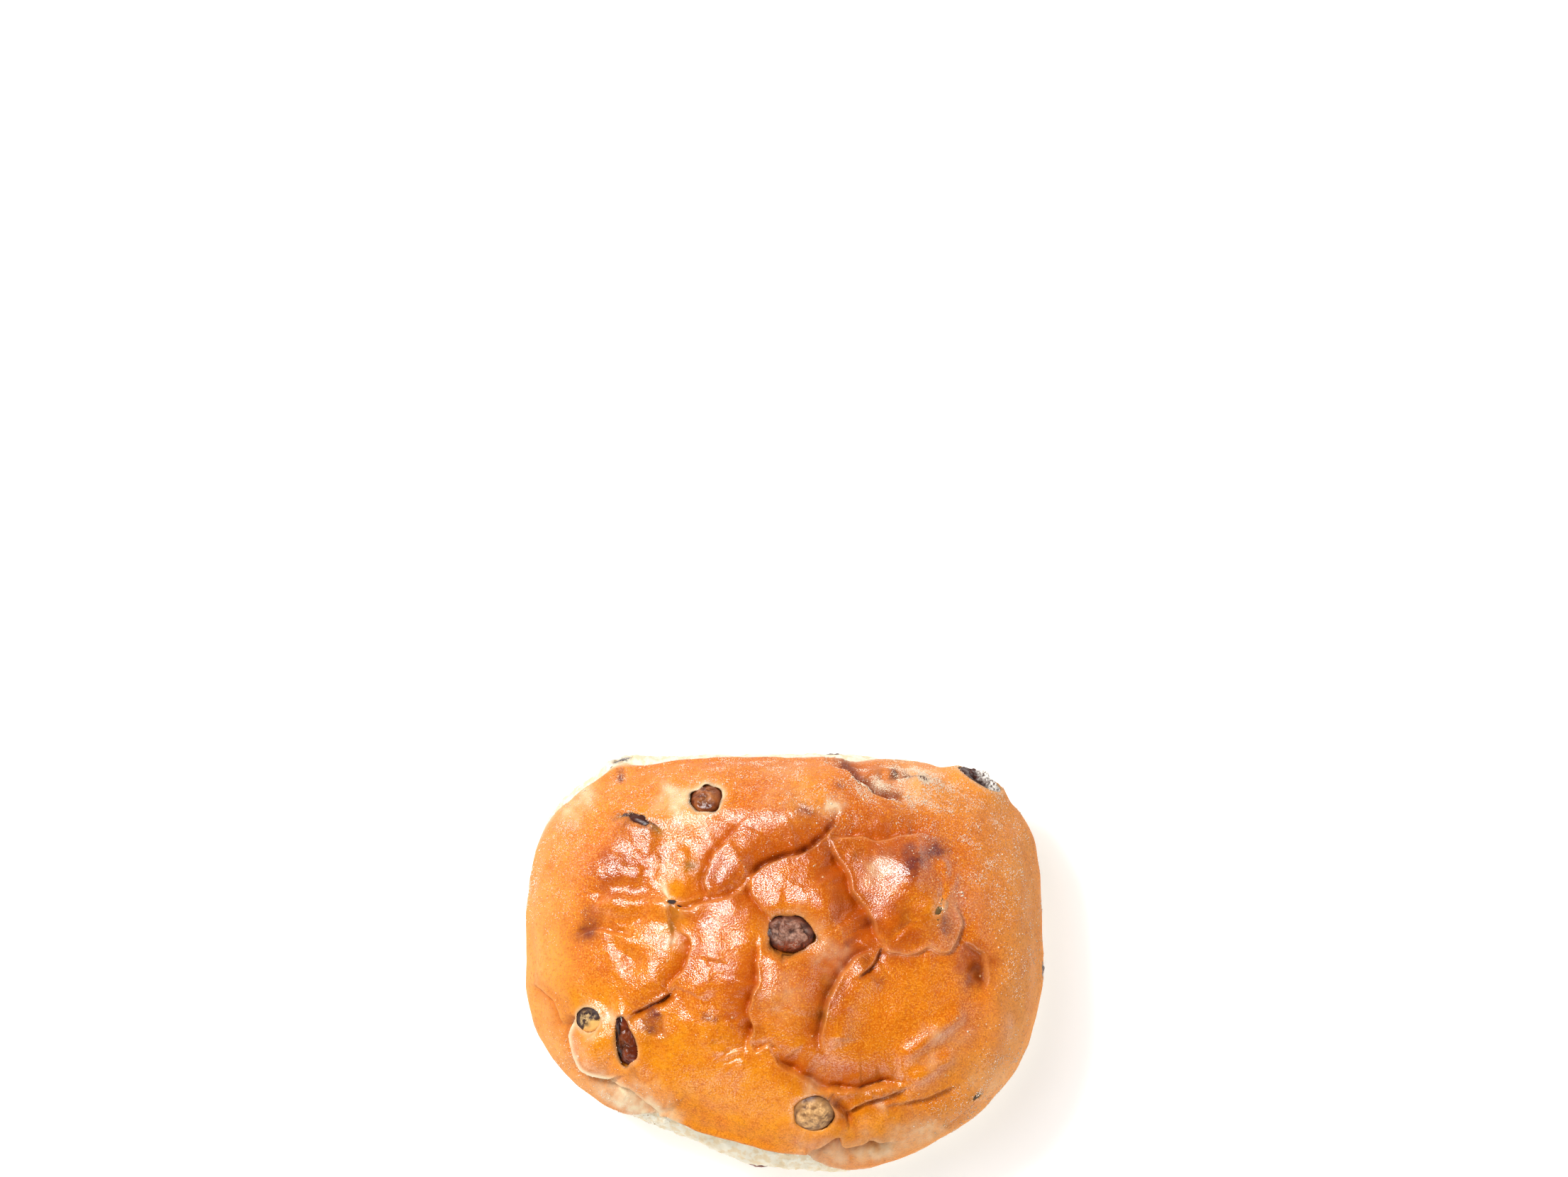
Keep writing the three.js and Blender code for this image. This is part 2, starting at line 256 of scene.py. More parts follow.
# Each fold is a pinched line with a steep bank and a valley on one side: 1 is left of the line's
# direction, -1 is right of it. The crest is the thin raised line, the roll is the skin behind it, and
# the slot is the narrow gap at the bank's foot. Some also have a pale line, or a dark band of painted shade
# beside them.
foldParts = ("side", "depth", "width", "crest", "roll", "slot", "pale", "dark", "darkAt")
foldTints = {"pale": 0, "dark": 0, "darkAt": 0.5}  # where a row stops short of them
folds = {
    "back": ((-1, 1.7, 3.4, 0.35, 0.35, 1.1, 0, 0.8), [(9.9, 27.2), (9.6, 25.6), (8.6, 24), (7, 22.7),
        (4.7, 21), (1.4, 19.6), (-1.5, 19.1), (-3.1, 18.1), (-5.1, 16.6), (-6.4, 15.8)]),
    "backTwist": ((-1, 0.7, 1.6, 0.35, 0.3, 0.45), [(-6.4, 16), (-6, 14.9), (-7.4, 13.9), (-9.3, 12.7),
        (-11.6, 11.9), (-13.6, 11.3), (-15.8, 9.6), (-17.8, 8.7), (-19.6, 7.7)]),
    "lobeRight": ((-1, 1.1, 2.2, 0.55, 0.4, 0.2), [(-19.4, 7.9), (-18.4, 6.1), (-17.1, 4.8), (-17, 2.5),
        (-17.5, 0.4), (-18.8, -1.8), (-20.1, -3.2), (-20.6, -4), (-20.4, -5)]),
    "lobeFoot": ((1, 1, 0.7, 0.2, 0.4, 0.55, 0, 0.6), [(-20.4, -4.6), (-22.3, -5.9), (-25, -7.2),
        (-26.6, -7.9), (-28.2, -8.7)]),
    "twist": ((-1, 1.1, 1.7, 0.35, 0.3, 0.5), [(-5.9, 15.4), (-5.6, 12.9), (-4.8, 11.6), (-3.8, 10.3),
        (-2.5, 9.2), (-1.2, 8.4)]),
    "backLeft": ((-1, 0.9, 3, 0.3, 0.5, 0.3), [(-7.9, 25.9), (-9, 24), (-10.9, 22), (-12.4, 20.4),
        (-13.2, 18.4), (-14.2, 16.8), (-14.5, 15.2), (-13.6, 13.2), (-12.6, 11.9)]),
    "cornerCrease": ((1, 0.35, 1, 0.3, 0.1, 0.2), [(35.6, -24.2), (32.6, -27.4), (28.6, -31)]),
    "lobeHollow": ((1, 0.8, 2.6, 0.1, 0.1, 0.1), [(-23, 10.2), (-21.6, 8), (-20.8, 5.6), (-21, 3)]),
    "lobeCrease": ((1, 0.45, 1, 0.25, 0.2, 0.35), [(-39, 4.7), (-35, 6.1), (-32.1, 5.6), (-29, 5.4),
        (-27.9, 4.9)]),
    "backRight": ((1, 0.9, 2.6, 0.4, 0.3, 0.3), [(8.9, 22.8), (11.2, 23.3), (14.1, 23.2), (16.7, 22.8),
        (19.3, 23), (22.3, 23.6), (26.5, 23.5)]),
    "ridgeRight": ((-1, 1.6, 3.8, 0.6, 0.3, 0.25), [(8.8, 22.6), (9.6, 20.7), (10.6, 18.8), (11.9, 16.8),
        (12.5, 15.2), (12.8, 13.6), (14.1, 11.6), (15.4, 9.6), (16.7, 7.7), (17.4, 5.7), (18.4, 3.8)]),
    "scallop": ((-1, 0.35, 1.2, 0.6, 0.2, 0.12, 0.1), [(17.9, 4.6), (18.4, 3.6), (19.3, 2.6), (21.3, 2),
        (22.6, 1.7), (24.2, 2.3), (25.9, 3), (27.2, 2.6), (29.1, 2.3), (30.8, 3), (31.9, 4.4), (32.5, 6.7),
        (32.4, 8.7), (31.7, 10.6), (31.2, 12.6)]),
    "tongue": ((-1, 1.7, 3, 0.5, 0.7, 0.3, 0, 0.5, 1), [(15.9, 2.6), (13.5, 1.5), (11.5, -0.8), (9.9, -3.1),
        (8.9, -5), (8.3, -7), (7.6, -9.3), (7, -12), (7.4, -15.5)]),
    "tongueTip": ((1, 1, 1.1, 0.2, 0.1, 0.45, 0, 0.5), [(17.4, 3.4), (16.6, 1), (14.8, -0.9), (13, -2.2)]),
    "long": ((-1, 1.2, 2.4, 0.6, 0.4, 0.35), [(-5.1, 4.4), (-4.4, 2.2), (-4.6, 0.2), (-4.3, -1.8),
        (-4.6, -4), (-5.7, -6.3), (-6.2, -8.3), (-5.7, -10.2), (-5.4, -11.9), (-6.1, -13.5),
        (-6.2, -15.3)]),
    "longHook": ((1, 0.5, 0.9, 0.35, 0.2, 0.4), [(-6.3, -14.9), (-5.1, -15.9), (-3.8, -15.4), (-2.8, -14.9),
        (-2, -16.1)]),
    "frontRidge": ((1, 1.5, 3, 0.25, 0.4, 0.5), [(-2.6, -15), (-1.6, -17.6), (-0.2, -19), (2.7, -20.5),
        (5, -22), (7, -22.6), (10.2, -23.4), (13.5, -23.3), (16.7, -22.9), (20, -22.3), (22.6, -22)]),
    "frontPit": ((1, 1.4, 1.3, 0.1, 0.2, 0.6, 0, 0.6), [(7.9, -24.2), (9.4, -25.6), (10.8, -27.3),
        (11.5, -28.8)]),
    "frontRoll": ((-1, 0.9, 1.5, 0.35, 0.35, 0.5), [(10.6, -27.6), (13.5, -25.4), (16.1, -24.4),
        (19.3, -23.5), (22.3, -22.3)]),
    "frontStep": ((-1, 0.5, 1.6, 0.15, 0.3, 0.3), [(17.4, -25.6), (21.3, -25.2), (25.2, -24.6),
        (29.1, -23.3), (31.7, -22)]),
    "rightPit": ((-1, 0.6, 2.6, 0.3, 0.3, 0.1, 0, 0.7), [(33.2, 4.4), (35.4, 3.2), (37.2, 2.1), (37.9, 0),
        (38, -2.4), (37.2, -4.4)]),
    "slit": ((1, 0.5, 0.9, 0.3, 0.3, 0.5, 0, 0.5), [(-33, 27.6), (-30.8, 27.2), (-28.4, 26.6), (-26, 25.8),
        (-24, 25), (-21.4, 23.9)]),
    "cornerStep": ((1, 1.3, 5, 0.4, 0.3, 0.5, 0, 1.6, 1.4), [(8.6, 37.2), (11.6, 35.6), (14.3, 33.2),
        (16.6, 31.6), (19.2, 30.4), (22.4, 29.8)]),
    "rimCrease": ((-1, 0.9, 1.6, 0.2, 0.5, 0.3), [(-46.8, -3.7), (-44.5, -5), (-42.2, -7), (-41.2, -9.9),
        (-40, -12)]),
    "domeEdge": ((-1, 1.5, 1.1, 0.5, 0.3, 0.8, 1.2), [(-38.4, -9.6), (-39.2, -11.6), (-39.2, -14),
        (-38.3, -17), (-36.2, -19.8), (-33.2, -20.9), (-30.6, -20.4)]),
    "rimFoot": ((-1, 0.9, 1.6, 0.2, 0.4, 0.7, 0.6), [(-33, -21.5), (-31.5, -22), (-28.2, -23.1),
        (-25, -25.4), (-22.2, -28)]),
    "frontLip": ((-1, 0.9, 1.5, 0.25, 0.3, 0.8, 0.15), [(4, -34.9), (7.3, -33.2), (8.9, -32.2),
        (10.6, -32.1), (11.2, -34), (14.1, -33.4), (16.1, -32.5), (17.7, -33), (20.5, -33)]),
    "wrinkleA": ((1, 0.25, 0.8, 0.3, 0, 0.15), [(-11.3, -17.1), (-9.6, -16.1), (-7.7, -15.8),
        (-6.7, -16.4)]),
    "wrinkleB": ((1, 0.25, 0.8, 0.25, 0, 0.15), [(-11.6, -18.4), (-9.4, -17.6), (-7.4, -17.3)]),
    "wrinkleC": ((-1, 0.3, 1, 0.25, 0, 0.15), [(-21.7, -9.3), (-21.9, -11.2), (-21.7, -13.2)]),
    "wrinkleD": ((-1, 0.2, 1, 0.15, 0, 0.15), [(-14.5, 1.2), (-12, 1), (-9.5, 0.6)]),
    "rimWrinkle": ((1, 0.25, 0.8, 0.25, 0, 0.2), [(-44.8, 17.1), (-42.9, 17.5), (-40.9, 19.4)]),
}

foldShape = {
    "bankStart": -0.25, "bankEnd": 0.45,  # mm either side of the line in which the bank falls
    "crestWidth": 0.3, "crestShare": 0.4, "rollOffset": 3, "rollWidth": 2.8, "rollShare": 1.6,
    "slotOffset": 0.6, "slotWidth": 0.6, "slotTint": 0.5,
    "lean": 0.2, "leanWidth": 1.4, "fade": 0.16, "deepening": 0.95, "opening": 1.3,
    "endShare": 0.25, "endReach": 1.2,  # of the fold that is left at its ends
    "uneven": 0.7, "unevenSize": 2.4, "fullDepth": 1.2, "fullCrest": 0.4,
    "slotEdge": (-0.3, 0.35), "crestOffset": 0.15, "leanEnd": 0.7,
    "shadeEdge": (0.15, 0.5), "shadeStart": 0.3, "shadeReach": 1.25,  # the painted shade in the valley
    "faintShare": 0.35, "faintOffset": 1.1, "faintWidth": 0.7,  # and a fainter band of painted shade behind the crest
    "darkWidth": 0.8, "paleWidth": 0.65,
    "draw": 0.5, "drawReach": 1.0,  # how much nearer to the lines the grid is drawn, and from how far
}
for number, (name, (values, line)) in enumerate(folds.items()):
    folds[name] = foldTints | dict(zip(foldParts, values)) | {"path": foldLine(line, number + 3)}


def pullToFolds(plan):  # moves that gather the grid along the fold lines, so that creases come out crisp
    nearest = np.full(len(plan), 9.0)
    pull = np.zeros((len(plan), 2))
    for fold in folds.values():
        near = np.flatnonzero(nearLine(plan, fold["path"], 3))
        signed, share, tangent = besideLine(plan[near], fold["path"])
        weight = bell(signed, foldShape["drawReach"]) * ease(share, 0, 0.06) * ease(share, 1, 0.94)
        better = np.abs(signed) < nearest[near]
        at = near[better]
        nearest[at] = np.abs(signed[better])
        normal = np.column_stack([-tangent[better, 1], tangent[better, 0]])
        pull[at] = -normal * (signed * weight)[better, None] * foldShape["draw"]
    return pull


# Soft valleys, or ridges where the depth is negative, with no pinched line: depth, width and line.
hollows = [
    (0.75, 1.7, [(-33.7, 13.2), (-29.8, 14.2), (-26.6, 13.7), (-23.6, 12.6)]),
    (0.4, 1.6, [(-21.8, 23), (-22, 20.7), (-21.7, 18.1), (-22.7, 15.5), (-23.3, 12.9)]),
    (0.5, 1.5, [(-33, 8), (-29.5, 7.6), (-26, 8.2)]),
    (0.5, 1.4, [(-31, 3.6), (-29, 1.6), (-27, 0.6)]),
    (0.7, 1.6, [(-13.2, -6.6), (-10.9, -8.9), (-8.7, -10.2), (-7, -11.9)]),
    (0.5, 1.5, [(-20, -4.5), (-18.6, -6), (-18.2, -7.8)]),
    (0.8, 3, [(-18, 22), (-18, 17), (-18.6, 13)]),
    (0.5, 2, [(7.2, -2), (6, -7), (5.2, -12)]),
    (0.7, 3, [(-30, -9.6), (-34, -8), (-39, -8.4)]),
    (0.9, 2.4, [(33, 3), (35.4, 0.8), (36.2, -1.6), (35.6, -4)]),
    (0.9, 0.9, [(18.4, 36.2), (21, 35.4), (22.4, 35.2)]),
    (0.8, 0.7, [(25, 33.7), (26, 33.2)]),
    (-1.15, 1.6, [(23, -15.8), (27, -12.6), (31, -9.4)]),
    (-1, 1.4, [(24.4, -20.4), (27.1, -18.5), (29.8, -17.1)]),
    (-0.4, 0.7, [(29, 18.6), (29.8, 17), (30.2, 15.6)]),
    (-0.35, 0.6, [(31.4, 16.4), (30.6, 14.6), (29.8, 13.2)]),
    (-0.5, 2, [(38.6, -6), (39.6, -12), (37.4, -19)]),
    (0.35, 0.9, [(-27, 20.6), (-25.4, 17.4), (-26.2, 14.8)]),
    (-0.3, 0.8, [(-33.6, 10.6), (-31, 11.6), (-28, 11.4)]),
    (-0.3, 0.7, [(-14.8, -13.4), (-13, -15.2), (-11.4, -15.8)]),
]

# x, y, reach along x, reach along y, height
swellings = [
    (0, -2, 27, 21, 1.5), (-33, 16.5, 6, 6, 1.2), (-30.2, 10.4, 4, 1.6, 0.5), (-28.2, 4, 3.4, 1.5, 0.35),
    (-28, -2, 8, 4, 0.25), (-10, 19, 5, 5, 0.5), (-1, 27.5, 7, 4, 0.7), (6.3, 12, 5, 4.5, 1.8),
    (8.2, 10.4, 2, 3, 0.5), (23.4, 16.6, 5, 5.5, 2.6), (20, 8.5, 5, 5, 1), (26.5, 8.6, 4, 4, 0.9),
    (4.5, -7, 6, 8, 1.7), (-8.5, -2.5, 6, 8, 1.5), (-13.5, -12, 5, 4, 0.4), (23, -11, 11, 8, 0.9),
    (36, -13, 6, 8, 0.5), (-16, -22, 12, 6, 0.7), (6, -30, 9, 3, 0.9), (24, -28, 9, 3, 0.6),
    (14, 26.5, 8, 2.6, 0.5), (5, 29.4, 4, 3.2, 0.9), (-34.4, -15, 3.6, 4.6, 2.6),
    (-18.4, 20, 2.4, 2.2, 0.6), (-18.8, 14.6, 2.6, 2.2, 0.5), (29.4, 17.4, 1.2, 2.4, 0.4),
    (31.2, 15, 1, 2, 0.35), (26.6, -17.6, 3.2, 1.6, 0.3), (38.8, -12, 2.4, 4, 0.4),
    (-15.8, 28.6, 6, 3, 0.5), (27.2, 10.4, 2.6, 3, 0.6), (35, -23.4, 3, 2, 0.4), (-21.6, 1, 3, 4, 0.4),
]

# The crust's edge all round: degrees in plan, polar degrees, how sharp it is and how far it overhangs.
crustEdge = [
    (0, 100, 0.1, 0), (30, 98, 0.1, 0), (45, 94, 0.2, 0.1), (60, 86, 0.6, 0.5), (90, 82, 0.9, 0.8),
    (120, 80, 0.9, 0.8), (130, 78, 1, 0.7), (143, 77.5, 1, 0.5), (152, 86, 0.3, 0.1), (165, 100, 0.1, 0),
    (180, 104, 0.1, 0), (205, 104, 0.1, 0), (220, 94, 0.2, 0), (227, 76, 0.6, 0.3), (232, 66.7, 1, 1),
    (243.3, 70.3, 1, 1), (255.1, 65.5, 1, 1), (266.5, 64.4, 1, 1), (276.6, 64, 1, 0.8), (281, 76, 0.8, 0.4),
    (288, 88, 0.5, 0.3), (300, 94, 0.2, 0.1), (330, 98, 0.1, 0), (360, 100, 0.1, 0),
]


def edgeAt(angle, polar):  # mm below the crust's edge along the skin, its sharpness and its overhang
    turned = np.degrees(angle) % 360
    at, edge, sharp, over = np.array(crustEdge).T
    edgeLength = np.interp(np.radians(np.interp(turned, at, edge)), profilePolar, profileLength)
    below = np.interp(polar, profilePolar, profileLength) - edgeLength
    return below, np.interp(turned, at, sharp), np.interp(turned, at, over)


def foldFields(plan):  # heights, masks and plan shifts that all the folds give together
    field = {}
    shift = np.zeros((len(plan), 2))
    shape = foldShape
    for number, fold in enumerate(folds.values()):
        near = nearLine(plan, fold["path"], 9)
        signed, share, tangent = besideLine(plan[near], fold["path"])
        side = signed * fold["side"]
        fade = ease(share, 0, shape["fade"]) * ease(share, 1, 1 - shape["fade"])
        fade = shape["endShare"] + (1 - shape["endShare"]) * fade
        fade = np.where((share == 0) | (share == 1), shape["endShare"] * bell(side, shape["endReach"]), fade)
        length = share * len(fold["path"]) * foldStep
        along = np.column_stack([length, length * 0, length * 0 + number])
        uneven = 1 + shape["uneven"] * noiseAt(along, shape["unevenSize"])
        bank = ease(side, shape["bankStart"], shape["bankEnd"])
        beyond = np.maximum(side - shape["bankEnd"], 0) / (shape["opening"] * fold["width"])
        valley = fold["depth"] * shape["deepening"] * uneven * fade * bank * np.exp(-beyond ** 1.3)
        slot = fold["slot"] * bell(side - shape["slotOffset"], shape["slotWidth"])
        valley += slot * fade * uneven * ease(side, *shape["slotEdge"])
        thin = bell(side + shape["crestOffset"], shape["crestWidth"])
        behind = np.where(side < 0, bell(side + shape["rollOffset"], shape["rollWidth"]),
                          bell(shape["rollOffset"], shape["rollWidth"]) * (1 - bank))
        lean = np.where(side < 0, bell(side, shape["leanWidth"]), 1 - ease(side, 0, shape["leanEnd"]))
        lean *= shape["lean"] * fade * min(1, fold["depth"])
        outward = np.column_stack([-tangent[:, 1], tangent[:, 0]]) * fold["side"]
        better = lean > np.linalg.norm(shift[near], axis=1)
        moved = shift[near]
        moved[better] = outward[better] * lean[better, None]
        shift[near] = moved
        inValley = np.maximum(side - shape["shadeStart"], 0) / (shape["shadeReach"] * fold["width"])
        shaded = ease(side, *shape["shadeEdge"]) * np.exp(-inValley ** 1.4)
        faint = shape["faintShare"] * bell(side + shape["faintOffset"], shape["faintWidth"])
        found = {
            "valley": valley,
            "crest": fold["crest"] * shape["crestShare"] * uneven * fade * thin,
            "roll": fold["roll"] * shape["rollShare"] * fade * behind,
            # painted shade, darkening the valley out from the bank
            "valleyShadeMask": fade * np.maximum(shaded, faint) * min(1, fold["depth"] / shape["fullDepth"]),
            # crests paler: drier, thinner skin, with a painted highlight on it
            "crestHighlightMask": fade * bell(side, shape["crestWidth"]) * min(1, fold["crest"] / shape["fullCrest"]),
            # a dark band of painted shade beside some folds
            "darkShadeMask": fold["dark"] * fade * uneven * bell(side - fold["darkAt"], shape["darkWidth"]),
            "paleMask": fold["pale"] * fade * bell(side + shape["crestOffset"], shape["paleWidth"]),
            # painted shade in the narrow slot at the bank's foot
            "slotShadeMask": fade * uneven * bell(side - shape["slotOffset"], shape["slotTint"])
            * min(1, fold["slot"]),
        }
        for name, value in found.items():
            whole = field.setdefault(name, np.zeros(len(plan)))
            whole[near] = np.where(np.abs(value) > np.abs(whole[near]), value, whole[near])
    return field, shift


def softRelief(plan):
    height = np.zeros(len(plan))
    for number, (depth, width, corners) in enumerate(hollows):
        line = foldLine(corners, number + 60)
        near = nearLine(plan, line, 9)
        height[near] -= depth * bell(besideLine(plan[near], line)[0], width)
    for x, y, reachX, reachY, rise in swellings:
        height += rise * np.exp(-((plan[:, 0] - x) / reachX) ** 2 - ((plan[:, 1] - y) / reachY) ** 2)
    return height


# Each fruit: its turn, how much of it the skin leaves open, how far the skin swells round it in its
# own half sizes, and its finish. The rest is said only where it isn't as usual.
fruitUsual = {
    "ragged": 0.06, "gap": 0.3, "ring": 0.22, "cream": 0.15,  # the opening's edge: uneven, darkened with painted shade, raised, pale
    "furrow": 0.8, "taper": 0, "pocket": 1,  # the last is the pocket's width in the fruit's own
    "shift": (0, 0, 0), "coated": (0, 0, 0), "coatEdge": (0.35, 0.8),  # the coat is towards a direction
}
fruits = {
    "raisin_middle": {"size": (9.8, 7, 5.6), "turn": 175, "shows": 0.92, "swell": 0.35, "finish": "dusty",
        "furrow": 1.1, "ragged": 0.3, "gap": 0.45, "coated": (0.3, -0.9, 0), "coatEdge": (0.3, 0.7)},
    "raisin_front": {"size": (8.2, 8, 5.2), "turn": 40, "shows": 0.9, "swell": 0.4, "finish": "washed",
        "furrow": 0.4, "ragged": 0.14},
    "currant_back_left": {"size": (6.4, 5.8, 4.6), "turn": 10, "shows": 0.84, "swell": 0.35, "pocket": 1.1,
        "finish": "reddish", "cream": 0.9, "ragged": 0.4, "ring": 0.35, "gap": 0.5},
    "raisin_split": {"size": (8, 3.8, 4.4), "turn": -26, "shows": 0.46, "swell": 0.8, "finish": "dark",
        "ragged": 0.5, "ring": 0.12, "gap": 0.5},
    "currant_left": {"size": (6.4, 5.4, 4.6), "turn": 25, "shows": 0.82, "swell": 0.6, "finish": "mottled",
        "cream": 0.6, "ragged": 0.14, "ring": 0.05, "shift": (-0.2, 0.8, 0), "furrow": 0.5, "gap": 0,
        "coated": (0.62, -0.72, 0.1), "coatEdge": (0.16, 0.3)},
    "raisin_left": {"size": (10.6, 4.6, 5), "turn": 97, "shows": 0.84, "swell": 0.5, "finish": "glossy",
        "cream": 0.3, "ragged": 0.3, "taper": 0.3, "gap": 0.5, "shift": (0.3, 0.9, 0),
        "coated": (-0.9, 0.35, -0.2), "coatEdge": (0.05, 0.45)},
    "raisin_shoulder": {"size": (9.6, 6.8, 6.4), "turn": 5, "shows": 0.92, "swell": 0.5, "finish": "floury",
        "cream": 0.5, "coated": (0.9, 0.35, 0.3), "coatEdge": (0.5, 0.9), "furrow": 1.5},
    "raisin_corner": {"size": (8, 5.6, 5), "turn": 20, "shows": 0.5, "swell": 0.7, "finish": "dark"},
    "currant_right": {"size": (6.4, 4, 4.4), "turn": 70, "shows": 0.24, "swell": 0.9, "finish": "olive",
        "ragged": 0.3, "ring": 0.05, "gap": 0},
    "currant_lobe_edge": {"size": (7, 3.4, 4.2), "turn": -8, "shows": 0.22, "swell": 0.8, "finish": "dried",
        "ragged": 0.3, "ring": 0.05},
    "currant_front_right": {"size": (5.6, 3.6, 4), "turn": 60, "shows": 0.32, "swell": 0.9,
        "finish": "olive", "ragged": 0.3, "ring": 0.05, "gap": 0},
    "currant_back_right": {"size": (5.4, 3.8, 4), "turn": -35, "shows": 0.36, "swell": 0.8,
        "finish": "dusty", "ragged": 0.12},
    "raisin_right_flank": {"size": (9, 6, 5), "turn": 80, "shows": 0.6, "swell": 0.8, "finish": "dark"},
    "currant_left_flank": {"size": (6.6, 5.4, 4.6), "turn": 20, "shows": 0.7, "swell": 0.6,
        "finish": "dark"},
    "raisin_front_flank": {"size": (9, 6, 5), "turn": -15, "shows": 0.75, "swell": 0.6, "finish": "glossy"},
    "currant_front_flank": {"size": (6, 5, 4.4), "turn": 50, "shows": 0.7, "swell": 0.6, "finish": "dark"},
    "raisin_back_flank": {"size": (9.4, 6.2, 5.2), "turn": 25, "shows": 0.7, "swell": 0.6,
        "finish": "dark"},
    "currant_back_flank": {"size": (6, 5.2, 4.6), "turn": -40, "shows": 0.72, "swell": 0.6,
        "finish": "dark"},
}
fruits = {name: fruitUsual | fruit for name, fruit in fruits.items()}
pocketShape = {
    "clear": 0.02,  # mm of clear space in a pocket
    "reach": 2.6, "skinFrom": 0.9,  # in the fruit's half sizes
    "edgeBand": 0.11, "edgeWidth": 0.7, "ringWidth": 0.8, "lipWidth": 0.16, "haloWidth": 0.5,
}


def skinNormal(x, y, z):  # outward, at the smooth skin's point in the direction of x, y and z
    grid = np.radians(np.arange(4, 139, 0.25))
    around = np.full(len(grid), math.atan2(y, x))
    skin = smoothPoint(grid, around)
    at = int(np.argmin(((skin - np.array([x, y, z])) ** 2).sum(1)))
    at = min(max(at, 2), len(grid) - 3)
    down = skin[at + 2] - skin[at - 2]
    turned = smoothPoint(grid[at:at + 1], around[:1] + 0.01) - smoothPoint(grid[at:at + 1], around[:1] - 0.01)
    outward = np.cross(down, turned[0])
    return outward / np.linalg.norm(outward)


def fruitAxes(name, fruit):  # middle, and the length, width and thickness directions as rows
    middle = readPoints(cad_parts[name].data).mean(0) / mm + np.array(fruit["shift"])
    outward = skinNormal(*middle)
    angle, turn = math.atan2(middle[1], middle[0]), math.radians(fruit["turn"])
    flank = "flank" in name or name in ("raisin_shoulder", "raisin_corner")
    across = np.array([-math.sin(angle), math.cos(angle), 0]) if flank else np.array([1.0, 0, 0])
    along = np.array([0, 0, 1.0]) if flank else np.array([0, 1.0, 0])
    lengthwise = across * math.cos(turn) + along * math.sin(turn)
    widthAxis = np.cross(outward, lengthwise)
    widthAxis /= np.linalg.norm(widthAxis)
    return middle, np.array([np.cross(widthAxis, outward), widthAxis, outward])


def taperAt(fruit, along):  # the fruit's width at a place on its length, narrower at one end
    return 1 - fruit["taper"] * np.clip(along / fruit["size"][0] * 2, -1.2, 1.2)


def pressPockets(points, masks):  # the skin drawn in to each fruit's opening, and under the fruit
    shape = pocketShape
    for number, fruit in enumerate(fruits.values()):
        middle, axes, swell = fruit["middle"], fruit["axes"], fruit["swell"]
        half = np.array(fruit["size"]) / 2
        near = np.linalg.norm(points - middle, axis=1) < shape["reach"] * half[0]
        local = (points[near] - middle) @ axes.T
        local[:, 1] /= taperAt(fruit, local[:, 0])
        scale = half[:2] * fruit["pocket"] + shape["clear"]
        flat = local[:, :2] / scale
        share = np.hypot(flat[:, 0], flat[:, 1])  # 1 at the pocket's edge
        perShare = np.hypot(local[:, 0], local[:, 1]) / np.maximum(share, 1e-6)
        away = (share - 1) * perShare  # the same in mm
        away *= 1 - 0.5 * bell(away, 1)
        share = 1 + np.where(np.abs(away) < shape["edgeBand"], 0, away) / np.maximum(perShare, 1e-6)
        flat = flat * (share / np.maximum(np.hypot(flat[:, 0], flat[:, 1]), 1e-6))[:, None]
        around = np.column_stack([flat / np.maximum(share, 0.05)[:, None], share * 0 + number])
        ragged = 1 + fruit["ragged"] * noiseAt(around, 0.7)
        onSkin = local[:, 2] > -half[2] * shape["skinFrom"]
        depthHalf = half[2] + shape["clear"]
        opening = math.acos(fruit["shows"])
        lipLevel = depthHalf * math.sin(opening)
        reach = share - (1 - fruit["shows"] * ragged) * bell(share - 1, swell)
        turnDown = opening - (opening + math.pi / 2) * (1 - np.minimum(share, 1)) ** 0.9
        reachIn = np.cos(turnDown) * np.where(turnDown > 0, ragged, 1)
        newReach = np.where((share < 1) & onSkin, reachIn, reach)
        flat = flat / np.maximum(share, 1e-6)[:, None] * newReach[:, None]
        beyond = np.maximum(away, 0) / shape["ringWidth"]
        ring = fruit["ring"] * beyond * np.exp(1 - beyond)
        level = local[:, 2] + (lipLevel - fruit["rimLevel"]) * bell(np.maximum(share - 1, 0), swell)
        atEdge = bell(np.maximum(away, 0), shape["edgeWidth"])
        level = level * (1 - atEdge) + lipLevel * atEdge + ring
        level = np.where((share >= 1) & onSkin, level, depthHalf * np.sin(turnDown))
        moved = np.column_stack([flat * scale, level])
        moved[:, 1] *= taperAt(fruit, moved[:, 0])
        points[near] = np.where(onSkin[:, None], moved @ axes + middle, points[near])
        broken = noiseAt(np.column_stack([flat * 1.6, share * 0 + number]), 1, 6)
        found = {
            "lip": fruit["cream"] * bell(share - 1, shape["lipWidth"]),
            "halo": bell(np.maximum(share - 1, 0), shape["haloWidth"]),
            # painted shade in the gap between the fruit and the skin
            "gap": bell(away + 0.1, fruit["gap"]) * ease(broken, -0.25, 0.35) if fruit["gap"] else 0,
            "pocket": share < 1,
        }
        for name, value in found.items():
            masks[name][near] = np.maximum(masks[name][near], np.where(onSkin, value, 0))
    return points


